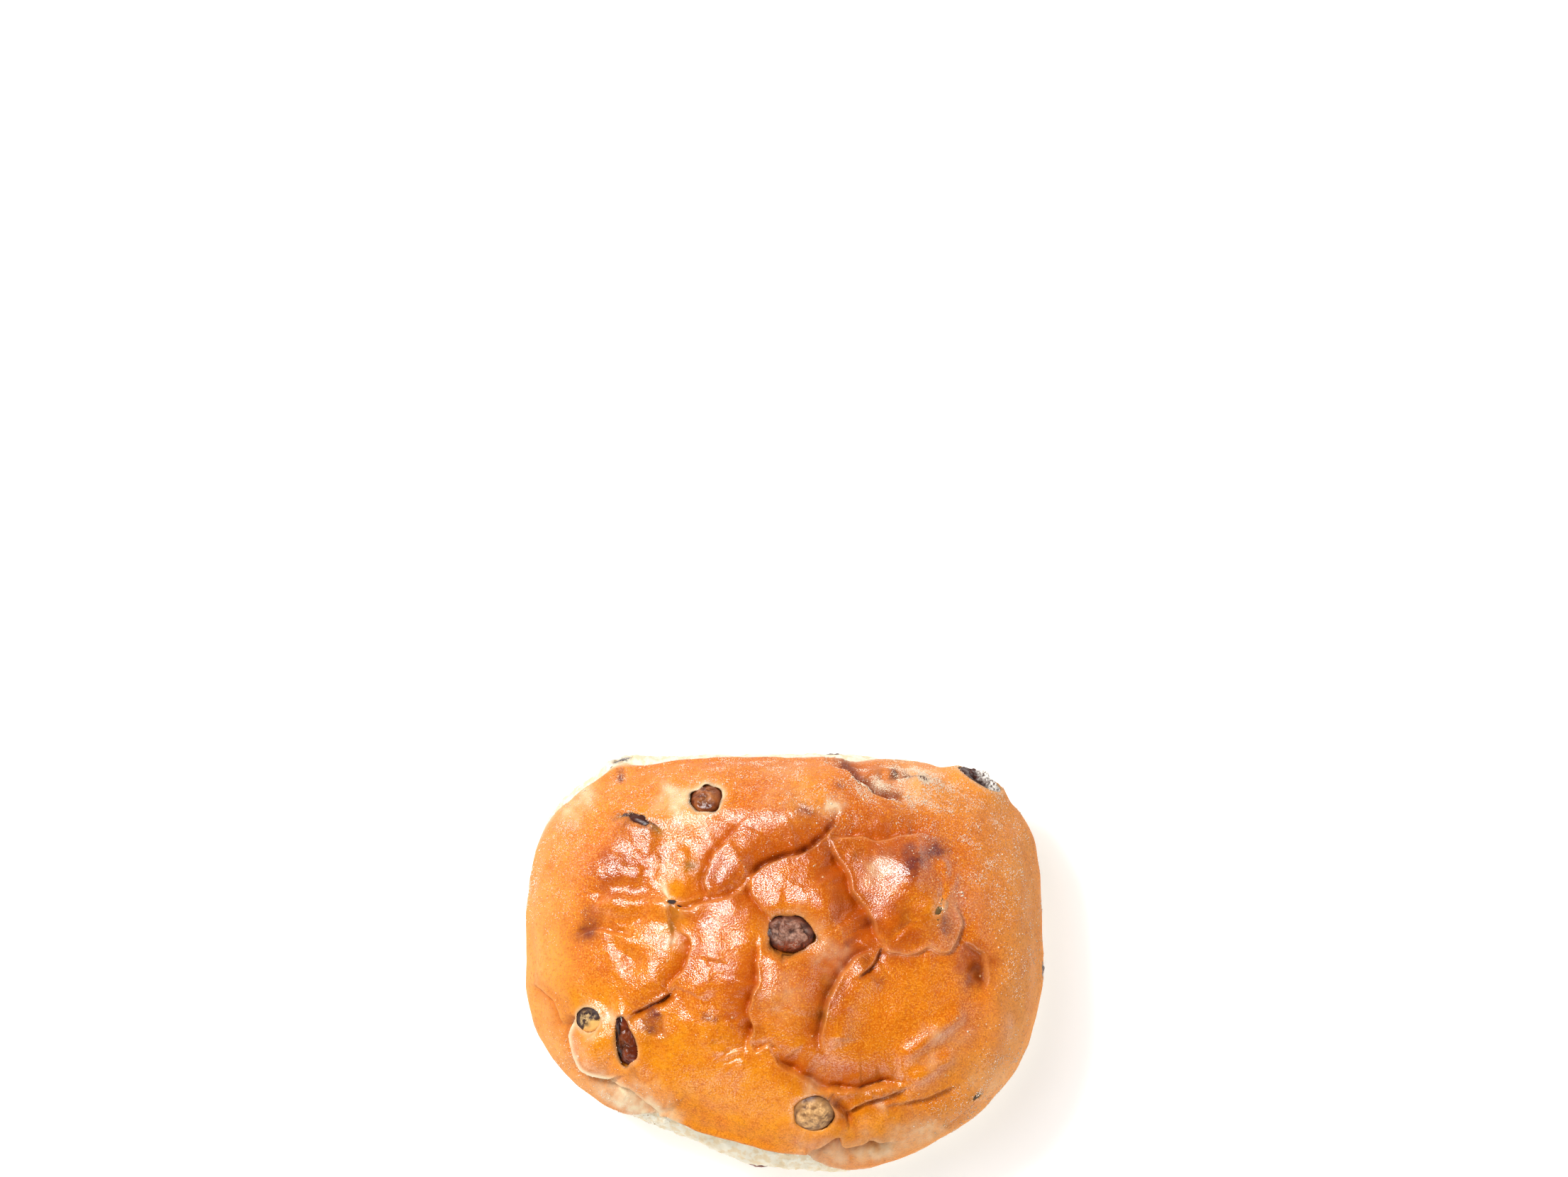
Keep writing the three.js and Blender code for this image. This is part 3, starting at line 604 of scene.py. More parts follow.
# The seed of each tint, then x, y, reach, strength of its spots, in mm. Matt and glazed change the gloss.
tints = {
    "amber": (11, [(0, -28, 9, 0.5), (13, -31, 7, 0.9), (-34, -8, 5, 0.8), (-34.6, -15.6, 4.2, 1),
        (-20, 27, 4.5, 0.8), (-17, 26, 5, 0.6), (5, 30, 5, 0.9), (-18.3, 18, 4.6, 1), (-19.5, 12, 4, 0.9),
        (-20.5, 7, 2.6, 0.9), (24.6, 11, 3, 0.5), (27.5, 9, 3, 0.7), (-14, -22, 13, 0.75), (5, -29, 7, 0.8),
        (-20, -26, 8, 0.7), (20, -8, 13, 0.2), (27, -3, 9, 0.2), (-20, 3, 3, 0.6), (-30, 8, 6, 0.45),
        (19, -27, 10, 0.5), (24, 33.8, 3, 0.4), (-29, 1, 6, 0.4), (0, -13, 6, 0.4), (8, -18, 8, 0.5),
        (-27, -7, 8, 0.3), (-22, -16, 8, 0.6), (-4, -26, 8, 0.7), (12, -30, 6, 0.9), (30, -22, 8, 0.35)]),
    "stain": (12, [(-23.9, -9.5, 1.7, 0.9), (-13.1, -9.3, 1.2, 1), (-27, -19.6, 0.9, 0.5),
        (23.4, 18.6, 2.8, 1), (27, 20, 2.2, 0.8), (30.1, 6.7, 1.4, 0.7), (10.2, 32.4, 1.1, 0.7),
        (11.5, 4.1, 1.2, 0.5), (-36.2, 5.6, 1.6, 0.7), (-35.5, 9, 1.5, 0.5), (-30, 34.7, 0.8, 0.8),
        (-22.7, 19.4, 0.8, 0.5), (-24.7, -11.9, 1, 1), (3.6, 28.4, 1.7, 0.75), (-29.5, 25.2, 2.4, 0.5),
        (-24.2, 24.6, 1.8, 0.5), (-12.6, -13.8, 0.6, 0.4), (17, -3.4, 1, 0.35), (-3, -6, 2.4, 0.18),
        (15, 7.4, 2.2, 0.25), (-30.5, 17.5, 3.2, 0.22), (3, 14, 2.4, 0.15)]),
    "olive": (13, [(-31.9, 27.2, 0.9, 0.8), (-21.7, 24.3, 0.8, 0.8), (-20.8, 7.2, 1, 0.7),
        (-17.5, 17.8, 1.2, 0.8), (26.9, 8.4, 1, 0.9), (2, 30.6, 1.6, 0.35), (-36.5, -8.8, 3.4, 0.5),
        (35, -23.6, 0.9, 0.8), (6.5, -9, 2, 0.4), (8, -4, 1.6, 0.4), (-20.6, 9.4, 1.6, 0.5),
        (22, 9.8, 2, 0.3), (17.5, -33.6, 1.6, 0.4), (29.8, -30, 0.8, 0.6), (28.2, -31.8, 0.7, 0.6)]),
    # pale dough at rims and edges, but the spots near the middle, on the right lobe and on the right field's
    # ridges are painted sheen
    "cream": (14, [(-26, -27.2, 3.8, 1), (-30, -25.4, 3.4, 1), (-33.6, -23.6, 2.8, 0.8),
        (-22.4, -28.8, 2.6, 1), (0, -5, 4, 0.2), (0, 32, 5, 0.16), (38, -22, 4, 0.2),
        (17.4, 17.6, 2.4, 0.5), (9, -35.6, 3, 0.4), (15, -35.2, 4, 0.5), (20, -34.2, 3.4, 0.5),
        (4, -36, 3, 0.4), (24.5, -31.4, 3.4, 0.45), (27.4, -31.6, 2, 0.35), (-36, 33.4, 2, 0.6),
        (-38, 31, 2.6, 0.4), (-40.2, 28, 2.6, 0.35), (8.4, 2, 3, 0.3), (27.2, -12.4, 2, 0.22),
        (26.5, -17.5, 1.8, 0.3), (31.5, -14, 2.4, 0.15), (-39, -12, 0.8, 0.8), (-38.9, -14.4, 0.8, 0.9),
        (-38, -17.2, 0.8, 0.9), (-36.4, -19.4, 0.8, 0.9), (-34, -20.6, 0.8, 0.8), (-20.3, 30.6, 3, 0.6),
        (-17.5, 29.6, 2.5, 0.5), (8.9, 28.9, 1.8, 0.8), (-22.3, 14.4, 1.1, 0.9), (-22.4, 10.6, 1.3, 0.7),
        (-20.6, 4.4, 1.6, 0.6), (24, 34, 3.4, 0.3), (17.6, 34, 2, 0.3), (28.4, 10.8, 0.9, 0.8),
        (17.7, -25.9, 0.8, 0.8), (-34, -11.8, 1.6, 0.5), (-31.8, -9.8, 1.6, 0.6), (2, 8.6, 2.2, 0.35),
        (6, 5.5, 2, 0.3), (5, -22.5, 1.6, 0.3)]),
    "flour": (15, [(30, 31, 8, 0.9), (38, 24, 7, 0.8), (23, 33.5, 6, 1), (44, 10, 5, 0.7), (45, -2, 5, 0.6),
        (40, -20, 6, 0.7), (32, -27, 5, 0.6), (-5, 36, 12, 0.55), (-22, 34, 10, 0.45), (10, 36, 8, 0.6),
        (-42, 14, 7, 0.5), (-38, 24, 7, 0.8), (-30, 31, 6, 0.5), (-40, -18, 8, 0.2), (-28, -27, 5, 0.3),
        (-20.5, 30.4, 3, 0.9), (37, 17, 8, 0.6), (14, 31, 6, 0.5)]),
    # darker-baked spots, with painted shade in pits and along fold bands
    "scorchAndShade": (16, [(-25.4, -10.4, 1.4, 0.5), (-24, -12.4, 2.4, 0.3), (36.2, -0.8, 2, 0.9),
        (35.6, -3, 1.6, 0.85), (22, 35.4, 1, 0.9), (20.2, 36, 0.8, 0.9), (25.5, 33.6, 0.9, 0.9),
        (15, 1.4, 1.6, 0.6), (13, 12, 2.4, 0.4), (14.6, 8, 2.2, 0.4), (-36.4, 6, 2.2, 0.5),
        (7.6, 21.6, 2.6, 0.5), (2, 21.6, 2, 0.25), (8.4, -8, 2, 0.4), (9.6, -4, 2, 0.4),
        (-13, 15.8, 3, 0.35), (-6, -11.6, 1.6, 0.4), (13, 19.6, 2.4, 0.45), (21, 19.6, 3, 0.4),
        (6, -20.6, 3, 0.25), (15, -21.4, 3, 0.2)]),
    "matt": (27, [(35.5, -1, 4, 0.9), (11, -6, 2.5, 0.6), (12, 4, 4, 0.5), (28, -5, 6, 0.6),
        (20, 7, 3.4, 1), (12.5, -29.6, 6, 1), (-18.5, 15, 3.4, 1), (-30, 0, 4, 0.5), (-12, 0, 4, 0.3)]),
    "glazed": (23, [(-34.6, -15.4, 4.6, 1), (26, -17, 6, 0.8), (38.5, -12, 4, 0.6), (-15, 29, 6, 0.7),
        (6, -31, 8, 0.6)]),
    # painted shade in slits and pits, and a few dark bits of fruit
    "charred": (24, [(-3, 4.4, 0.8, 1), (-2.7, 3.4, 0.6, 1), (-3.5, 5.6, 0.6, 0.8), (-25.4, 25.6, 0.7, 0.9),
        (-24, 24.9, 0.6, 0.9), (-22.6, 24.2, 0.6, 0.8), (-29.6, 27, 0.6, 0.8), (-31, 27.5, 0.5, 0.6),
        (-21.2, 11.8, 0.8, 0.9), (-19.6, 11.5, 0.6, 0.8), (-28.4, -9.8, 0.6, 0.7), (36.4, -1.4, 0.8, 0.35),
        (20.2, 36, 0.6, 0.8), (21.9, 35.2, 0.6, 0.8), (25.5, 33.6, 0.7, 0.8), (14.4, 33.6, 1.2, 0.5),
        (16.6, 32, 1.1, 0.5), (14.6, 33.4, 0.6, 0.3)]),
    "russet": (19, [(-2, 22, 6, 0.3), (4, 22.6, 4, 0.5), (9.6, 15, 4, 1), (12.6, 10, 3.6, 1),
        (14, 5, 3.6, 0.9), (19, 17, 7, 0.6), (20, 7, 6, 1), (24, 4, 3, 0.6), (7, 19, 4, 0.7),
        (-16, 10, 3, 0.6), (18, 22, 6, 0.8), (26, 22, 5, 0.5), (-9, 20, 6, 0.5), (-12.6, 16, 3.4, 0.9),
        (-8, 10.6, 4, 0.6), (6, 1, 5, 0.6), (9.4, -6, 3, 0.9), (6, -13, 3, 0.6), (-30, 16, 6, 0.75),
        (-30, 0, 4, 0.5), (-12, 0, 4, 0.5), (3, 14, 3, 0.4), (10, 30, 6, 0.4), (-4, 31, 8, 0.35),
        (-8, -4, 3, 0.7), (-8.4, -9, 2.4, 0.7), (-36, 6, 4, 0.5), (30, 8, 4, 0.4), (-22, 22, 5, 0.4),
        (-18, 0, 2, 0.6), (2, -18, 4, 0.5), (12, -21, 6, 0.6), (35, 0, 4, 0.8), (35, 26, 6, 0.3),
        (10, -27, 2.4, 0.6), (-24, -6, 3, 0.4)]),
    "patch": (17, [(20, 34.4, 4.4, 0.8), (25, 33, 4, 0.8), (16, 34.4, 2.4, 0.7), (29, 31.4, 2.6, 0.5)]),
}

# x, y, reach, strength of the skin's fine crumpling beside the folds
crumpled = [
    (-30, 15, 9, 1), (-17, 16, 6, 0.9), (-8, -15, 5, 0.9), (-4, 20, 7, 0.6), (26, 14, 7, 0.9),
    (15, -25, 8, 0.8), (-14, -4, 7, 0.6), (2, 12, 6, 0.7), (35, 0, 4, 0.9), (-28, 0, 8, 0.6),
    (10, -3, 5, 0.6), (22, 33, 7, 0.6),
]


spotEdge = {"wanders": ((3.1, 0, 2.2), (1.1, 4, 0.9)), "sharpness": 2.4}  # size, seed and reach of each
spotBreaks = ((0.7, 1.7, 20), (0.35, 0.7, 21))  # height, size and seed


def tintAt(plan, spots, seed):  # soft-edged spots whose outlines wander
    flat = withLevel(plan)
    wander = sum(by * noisesAt(flat, size, seed + more, seed + more + 9)
                 for size, more, by in spotEdge["wanders"])
    total = np.zeros(len(plan))
    for x, y, reach, strength in spots:
        drawn = plan + wander * min(1, reach / 2.2)
        away = np.hypot(drawn[:, 0] - x, drawn[:, 1] - y)
        total = 1 - (1 - total) * (1 - strength * np.exp(-(away / reach) ** spotEdge["sharpness"]))
    broken = 0.85 + sum(high * noiseAt(flat, size, seed + more) for high, size, more in spotBreaks)
    return np.clip(total * broken, 0, 1)


relief = {
    "pullStart": 76, "pullWhole": 70,  # polar degrees between which the grid is gathered to the folds
    "topLevels": (20, 27), "flourLevels": (12, 20), "baseLevels": (0.2, 2.6),  # mm
    # height, size and seed of each, and its stretch where it has one
    "topBumps": ((0.5, 11, 1), (0.25, 5, 2), (0.09, 2.2, 3)), "topDrop": 0.6,
    "crumples": ((0.24, 4.6, 9, (1, 0.7, 1)), (0.07, 2.1, 10)),
    "flankBumps": ((0.72, 13, 4, (1, 1, 0.8)), (0.28, 4.5, 5)),
    "tornStrands": ((0.5, 4, 6, (1, 1, 0.45)), (0.22, 1.6, 7, (1, 1, 0.45))), "tornDrop": 0.3,
    "baseBumps": ((0.25, 14, 8),), "baseRise": 0.02,
    "edgeSwell": 0.7, "edgeUndercut": 1.5, "undercutReach": 3.2,
    "rimTan": ((0, 0.7), (40, 0.6), (70, 0.15), (110, 0.15), (140, 0.4), (180, 0.9), (215, 0.95),
               (230, 0.1), (290, 0.5), (308, 0.8), (330, 0.95), (360, 0.7)),  # at degrees round the rim
    "tanReach": (0.7, 0.97), "glossReach": (0.68, 0.86),  # shares of the way to the edge
}


def summed(pattern, points, parts):
    total = np.zeros(len(points))
    for high, size, seed, *stretch in parts:
        total += high * pattern(points * (stretch or 1), size, seed)
    return total


def raiseSkin(points, normals, angle, polar, onTop):  # the smooth skin with its folds and its torn flank
    plan, level = points[:, :2], points[:, 2]
    below, sharp, over = edgeAt(angle, polar)
    field, shift = foldFields(plan)
    height = softRelief(plan) + field["crest"] + field["roll"] - field["valley"]
    height += summed(noiseAt, points, relief["topBumps"]) - relief["topDrop"]
    height += ease(tintAt(plan, crumpled, 18), 0.1, 0.9) * summed(ridgesAt, points, relief["crumples"])
    lift = onTop * height + (1 - onTop) * summed(noiseAt, points, relief["flankBumps"])
    undercut = ease(below, -0.1, 0.7) * np.exp(-np.maximum(below, 0) / relief["undercutReach"])
    lift += over * (relief["edgeSwell"] * bell(below + 0.9, 1.1) - relief["edgeUndercut"] * undercut)
    torn = summed(ridgesAt, points, relief["tornStrands"]) - relief["tornDrop"]
    lift += over * ease(below, 0.3, 1.5) * ease(level, 1.5, 5) * torn
    lift *= ease(level, 0.2, 3.5)
    raised = points + normals * lift[:, None]
    raised[:, :2] += shift * onTop[:, None]
    crust = 1 - ease(below, -0.5 - 6 * (1 - sharp), 0.3 + 7 * (1 - sharp))
    return raised, field, crust


def shapeDough():
    mesh = makeSkin()
    angle, polar, inward, onBase = layOut(readPoints(mesh))
    plan = smoothPoint(polar, angle)[:, :2]
    pull = ease(polar, math.radians(relief["pullStart"]), math.radians(relief["pullWhole"]))
    pull = pullToFolds(plan) * pull[:, None]
    moved = (np.abs(pull).max(1) > 1e-6) & ~onBase
    x, y = (plan + pull)[moved].T
    angle[moved] = np.arctan2(y, x)
    share = np.clip(np.hypot(x, y) / planRadius(angle[moved]), 0, 1)
    polar[moved] = np.arcsin(share ** (domeFullness(angle[moved]) / 2))
    points = smoothPoint(polar, angle)
    points[:, :2] *= inward[:, None]
    points[:, 2] = (points[:, 2] + np.hypot(points[:, 2], bun["baseRounding"])) / 2
    writePoints(mesh, points)
    plan, level = points[:, :2].copy(), points[:, 2].copy()
    onTop = ease(level, *relief["topLevels"])
    points, field, crust = raiseSkin(points, readNormals(mesh), angle, polar, onTop)
    base = np.abs(summed(noiseAt, points, relief["baseBumps"])) + relief["baseRise"]
    points[:, 2] = np.maximum(np.where(onBase, base, points[:, 2]), 0)

    masks = {name: np.zeros(len(points)) for name in ("lip", "halo", "pocket", "gap")}
    for name, fruit in fruits.items():
        fruit["middle"], fruit["axes"] = fruitAxes(name, fruit)
        local = (points - fruit["middle"]) @ fruit["axes"].T
        around = np.hypot(local[:, 0] / fruit["size"][0], local[:, 1] / fruit["size"][1]) * 2
        rim = (np.abs(around - 1) < 0.15) & (np.abs(local[:, 2]) < 7)
        fruit["rimLevel"] = float(local[rim, 2].mean())
    points = pressPockets(points, masks)
    writePoints(mesh, points)

    rimTan = np.interp(np.degrees(angle) % 360, *np.array(relief["rimTan"]).T)
    outer = np.hypot(plan[:, 0], plan[:, 1]) / planRadius(angle) + 0.05 * noiseAt(points, 7, 20)
    cover = {"flour": ease(level, *relief["flourLevels"]), "matt": 1}  # the other tints are on the top
    tint = {name: tintAt(plan, spots, seed) * cover.get(name, onTop) for name, (seed, spots) in tints.items()}
    tan = rimTan * np.where(level < bun["widestLevel"], 1, ease(outer, *relief["tanReach"]))
    tan *= 1 - 0.85 * tint["amber"]
    # pale dough, with some spots of painted sheen
    cream = np.maximum(tint["cream"], field["paleMask"] * onTop)
    # darker-baked spots, and painted shade in pits and along the folds
    scorchAndShade = np.maximum(tint["scorchAndShade"], field["darkShadeMask"] * onTop)
    gloss = onTop * (1 - 0.9 * ease(outer, *relief["glossReach"]))
    gloss = np.maximum(gloss, 0.9 * tint["glazed"]) * (1 - tint["matt"])
    based = np.maximum(1 - ease(level + 0.8 * noiseAt(points, 6, 26), *relief["baseLevels"]), onBase)
    paint(mesh, "bakeMap", crust, tan, tint["amber"])
    # stain; painted shade in the valleys; crests paler, partly a painted highlight
    paint(mesh, "markMap", tint["stain"], field["valleyShadeMask"] * onTop, field["crestHighlightMask"] * onTop)
    paint(mesh, "dustMap", tint["flour"], np.maximum(cream, masks["lip"]), gloss)
    paint(mesh, "spotMap", tint["olive"], masks["halo"], scorchAndShade)
    # russet tone; painted shade in the fold slots; the corner patch
    paint(mesh, "toneMap", tint["russet"], field["slotShadeMask"] * onTop, tint["patch"])
    # painted shade round the fruit and in slits and pits; the browned base
    paint(mesh, "gapMap", np.maximum(masks["gap"], tint["charred"]), based)
    mesh.shade_smooth()
    triangles = sum(len(polygon.vertices) - 2 for polygon in mesh.polygons)
    print("dough", len(mesh.vertices), "vertices", triangles, "triangles")
    bare = (1 - masks["pocket"]) * (1 - 0.8 * masks["lip"]) * (1 - np.clip(field["darkShadeMask"], 0, 1))
    flour = tint["flour"] * (1 + 3 * tint["patch"]) + tint["patch"]
    return mesh, flour * bare * ease(noiseAt(points, 2.4, 21) + 0.4 * noiseAt(points, 9, 22), -0.35, 0.6)


crustLook = {
    "colours": {
        # the valley, crease and gap colours are painted shade, and scorch partly; crest is partly a painted
        # highlight, cream partly painted sheen
        "brown": "#DE6C02", "russet": "#B44800", "creaseShade": "#8A3A00", "tan": "#F4A654", "amber": "#F49602",
        "deep": "#A84800", "valley": "#B85000", "speckle": "#FFA024", "crest": "#F0A058",
        "stain": "#6E2C28", "olive": "#6A5A1C", "scorchAndShade": "#7A2E04", "gap": "#331206", "base": "#C08040",
        "cream": "#F6DEB4", "pale": "#F8F0DA", "paleWarm": "#EED8B0", "flour": "#F8F0E6",
        "blister": "#FAC88C",
    },
    "maps": {  # the masks that are painted on the dough, three to a colour attribute
        "bakeMap": ("crust", "tan", "amber"), "markMap": ("stain", "valley", "crest"),
        "dustMap": ("flour", "cream", "gloss"), "spotMap": ("olive", "halo", "scorchAndShade"),
        "toneMap": ("russet", "slot", "patch"), "gapMap": ("gap", "based"),
    },
    # Size in mm and detail. Real pores and flour are under 0.1 mm, too fine for the picture, so "fine" and
    # "dusting" are drawn coarser.
    "patterns": {
        "fine": (0.31, 2), "pebble": (0.7, 2), "blotch": (2, 2), "mottle": (4.5, 3), "broad": (12, 3),
        "dusting": (0.24, 3),
    },
    "strand": 1.5, "strandStretch": 0.4, "blisterSpacing": 3.6,  # mm, but for the stretch
    "blisterSpots": [("blisters", 0.085, 0.045), ("broad", 0.45, 0.55)],
    # Each layer is a colour, its strength, and the masks and patterns that this is multiplied by. A
    # pattern, and a mask with numbers, is spread between its two levels, to 0 and 1 or to the two next.
    "skin": [
        ("russet", 0.25, ("broad", 0.3, 0.7)), ("deep", 0.14, ("blotch", 0.4, 0.65)),
        ("amber", 0.2, ("mottle", 0.4, 0.75)), ("tan", 1, "tan", ("mottle", 0.25, 0.7, 0.75, 1.1)),
        ("tan", 0.9, "patch"), ("amber", 0.85, "amber"), ("russet", 0.85, "russet"),
        ("deep", 0.35, ("pebble", 0.5, 0.7)), ("deep", 0.3, ("fine", 0.46, 0.34)),
        ("speckle", 1, ("fine", 0.5, 0.64), ("russet", 0.1, 0.8, 0.65, 0.15)), ("amber", 0.35, "halo"),
        # painted shade in the valleys, slots and pits
        ("valley", 0.9, "valley"), ("creaseShade", 0.5, "slot"), ("scorchAndShade", 0.85, "scorchAndShade"),
        # the crest colour is partly a painted highlight, and cream partly painted sheen
        ("crest", 0.35, "crest"), ("cream", 1, "cream", ("mottle", 0.3, 0.6, 0.6, 1)),
        ("olive", 0.7, "olive"), ("stain", 1, "stain", ("pebble", 0.3, 0.6, 0.7, 1)),
    ],
    "crumb": [
        ("paleWarm", 1, ("strands", 0.56, 0.4)), ("paleWarm", 0.35, ("broad", 0.4, 0.7)),
        ("base", 1, "based", ("mottle", 0.3, 0.6, 0.7, 1)),
    ],
    "surface": [
        # the gap colour is painted shade round the fruit and in slits and pits
        ("blister", 0.55, "blister"), ("gap", 0.85, "gap"), ("flour", 0.5, "flour", ("dusting", 0.54, 0.68)),
    ],
    "glaze": ["gloss", ("fine", 0.36, 0.6, 0.35, 1), ("valley", 0.1, 0.8, 1, 0.3)],  # the dried egg wash
    "glazeRoughness": 0.17, "glazeIor": 1.9, "mattRoughness": 0.62, "glossRoughness": 0.46,
    "bumps": {"pebble": (0.9, 0.05), "fine": (0.9, 0.11), "blister": (1, 0.1), "torn": (0.9, 0.4)},  # mm
}


def multiplied(tree, source, strength, terms):  # a strength times masks and spread patterns
    for term in terms:
        name, *levels = [term] if isinstance(term, str) else term
        value = source[name]
        if levels:
            value = addNode(tree, "ShaderNodeMapRange", {0: value, **dict(enumerate(levels, 1))},
                            interpolation_type="SMOOTHSTEP").outputs[0]
        strength = addNode(tree, "ShaderNodeMath", {0: value, 1: strength}, operation="MULTIPLY").outputs[0]
    return strength


def layered(tree, source, colour, layers):  # each layer's colour over those before it
    for shade, strength, *terms in layers:
        share = multiplied(tree, source, strength, terms)
        over = linear(crustLook["colours"][shade])
        colour = addNode(tree, "ShaderNodeMix", {0: share, 6: colour, 7: over}, data_type="RGBA").outputs[2]
    return colour


def makeCrustMaterial():  # enriched dough, egg-washed and baked: a glossy brown skin over a pale side
    look = crustLook
    material, tree, shader = newMaterial("eggWashedBreadCrust")
    place = addNode(tree, "ShaderNodeTexCoord").outputs["Object"]
    source = {}
    for mapName, names in look["maps"].items():
        attribute = addNode(tree, "ShaderNodeAttribute", attribute_name=mapName).outputs["Color"]
        source |= zip(names, addNode(tree, "ShaderNodeSeparateColor", {"Color": attribute}).outputs)
    for name, (size, detail) in look["patterns"].items():
        source[name] = addNode(tree, "ShaderNodeTexNoise", {
            "Vector": place, "Scale": 1 / (size * mm), "Detail": detail, "Roughness": 0.55}).outputs[0]
    stretched = addNode(tree, "ShaderNodeMapping", {"Vector": place, "Scale": (1, 1, look["strandStretch"])})
    source["strands"] = addNode(tree, "ShaderNodeTexNoise", {
        "Vector": stretched.outputs[0], "Scale": 1 / (look["strand"] * mm), "Detail": 5.0,
        "Roughness": 0.6}).outputs[0]
    source["blisters"] = addNode(tree, "ShaderNodeTexVoronoi", {
        "Vector": place, "Scale": 1 / (look["blisterSpacing"] * mm), "Randomness": 1.0}).outputs["Distance"]
    source["blister"] = multiplied(tree, source, 1, look["blisterSpots"])

    skin = layered(tree, source, linear(look["colours"]["brown"]), look["skin"])
    crumb = layered(tree, source, linear(look["colours"]["pale"]), look["crumb"])
    colour = addNode(tree, "ShaderNodeMix", {0: source["crust"], 6: crumb, 7: skin}, data_type="RGBA")
    colour = layered(tree, source, colour.outputs[2], look["surface"])
    rough = addNode(tree, "ShaderNodeMapRange", {
        0: source["gloss"], 3: look["mattRoughness"], 4: look["glossRoughness"]}).outputs[0]
    bare = addNode(tree, "ShaderNodeMath", {0: 1.0, 1: source["crust"]}, operation="SUBTRACT").outputs[0]
    source["torn"] = multiplied(tree, source | {"bare": bare}, 1, ["strands", "bare"])
    bumps, under = {}, {}
    for name, (strength, height) in look["bumps"].items():
        bumps[name] = addNode(tree, "ShaderNodeBump", {
            "Strength": strength, "Distance": height * mm, "Height": source[name], **under}).outputs[0]
        under = {"Normal": bumps[name]}
    setInputs(shader, {
        "Base Color": colour, "Roughness": rough, "IOR": 1.45, "Specular IOR Level": 0.12,
        "Coat Weight": multiplied(tree, source, 1, look["glaze"]), "Coat IOR": look["glazeIor"],
        "Coat Roughness": look["glazeRoughness"], "Normal": bumps["torn"], "Coat Normal": bumps["blister"],
    })
    return material


doughMesh, flourShare = shapeDough()
dough = makeObject("crust_and_crumb", doughMesh)
doughMesh.materials.append(makeCrustMaterial())
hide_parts("dough")
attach(dough, "root")

flourGrain = {  # mm, and larger than the real grains, which are too fine for the picture
    "doublings": 14, "radius": 0.042, "spread": 0.35, "jitter": 0.28, "stretch": (0.6, 1.3), "proud": 0.4,
    "colour": "#F5DFC4", "roughness": 0.8,
}


def scatterFlour(mesh, share):  # grains of flour stuck on the crust, as one mesh
    bm = bmesh.new()
    bmesh.ops.create_cube(bm, size=2)
    for _ in range(flourGrain["doublings"]):
        bmesh.ops.duplicate(bm, geom=bm.verts[:] + bm.edges[:] + bm.faces[:])
    flourMesh = meshFrom(bm, "flour")
    count = 2 ** flourGrain["doublings"]
    corners = readPoints(flourMesh).reshape(count, -1, 3)
    at = draws.choice(len(share), count, p=share / share.sum())
    radius = flourGrain["radius"] * np.exp(draws.normal(0, flourGrain["spread"], (count, 1)))
    stretch = draws.uniform(*flourGrain["stretch"], (count, 3)) * radius
    normals = readNormals(mesh)[at]
    jitter = draws.normal(0, flourGrain["jitter"], (count, 3))
    jitter -= (jitter * normals).sum(1, keepdims=True) * normals
    middles = readPoints(mesh)[at] / mm + jitter + normals * radius * flourGrain["proud"]
    turns = np.linalg.qr(draws.normal(0, 1, (count, 3, 3)))[0]
    corners = (corners * stretch[:, None, :]) @ turns
    writePoints(flourMesh, (corners + middles[:, None, :]).reshape(-1, 3))
    flourMesh.shade_smooth()
    material, _, shader = newMaterial("wheatFlour")  # baked-on wheat flour: matt and off-white
    setInputs(shader, {"Base Color": linear(flourGrain["colour"]), "Roughness": flourGrain["roughness"]})
    flourMesh.materials.append(material)
    print("flour grains", count)
    return flourMesh


flourDust = makeObject("flour_dust", scatterFlour(doughMesh, flourShare))
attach(flourDust, "root")

fruitLook = {  # patterns in mm
    "wrinkle": 1.3, "pore": 0.35, "speck": 0.4, "poreDepth": 0.06, "filmRoughness": 0.7,
    "usual": {"patchEdge": (0.3, 0.65), "coat": "#F8F0E6", "coatHoles": (0.36, 0.55)},
}
fruitFinish = {
    "dark": {"skin": "#220C08", "high": "#4A2014", "film": "#7E4430", "filmShare": 0.3, "rough": 0.32},
    "floury": {"skin": "#220C08", "high": "#4A2014", "film": "#7E4430", "filmShare": 0.3, "rough": 0.34},
    "glossy": {"skin": "#3A1007", "high": "#7C3014", "film": "#B0602A", "filmShare": 0.4, "rough": 0.2,
               "coat": "#1C0705", "coatHoles": (0.3, 0.45)},
    "olive": {"skin": "#463214", "high": "#76582A", "film": "#9A7A3C", "filmShare": 0.5, "rough": 0.6},
    "dried": {"skin": "#240D07", "high": "#46200F", "film": "#6E3A20", "filmShare": 0.3, "rough": 0.65},
    "mottled": {"skin": "#2A1008", "high": "#4A2612", "film": "#DCB478", "filmShare": 0.9, "rough": 0.55,
                "patchEdge": (0.5, 0.56), "coat": "#F2BC6A", "coatHoles": (0.26, 0.34)},
    "reddish": {"skin": "#5A2410", "high": "#A85C2C", "film": "#D48A4C", "filmShare": 0.6, "rough": 0.24},
    "dusty": {"skin": "#2A100C", "high": "#74402F", "film": "#C8967E", "filmShare": 0.9, "rough": 0.42,
              "coat": "#8A3A18", "coatHoles": (0.4, 0.6)},
    "washed": {"skin": "#5A3420", "high": "#B4824E", "film": "#F2BC7C", "filmShare": 1.0, "rough": 0.42,
               "patchEdge": (0.38, 0.58)},
}


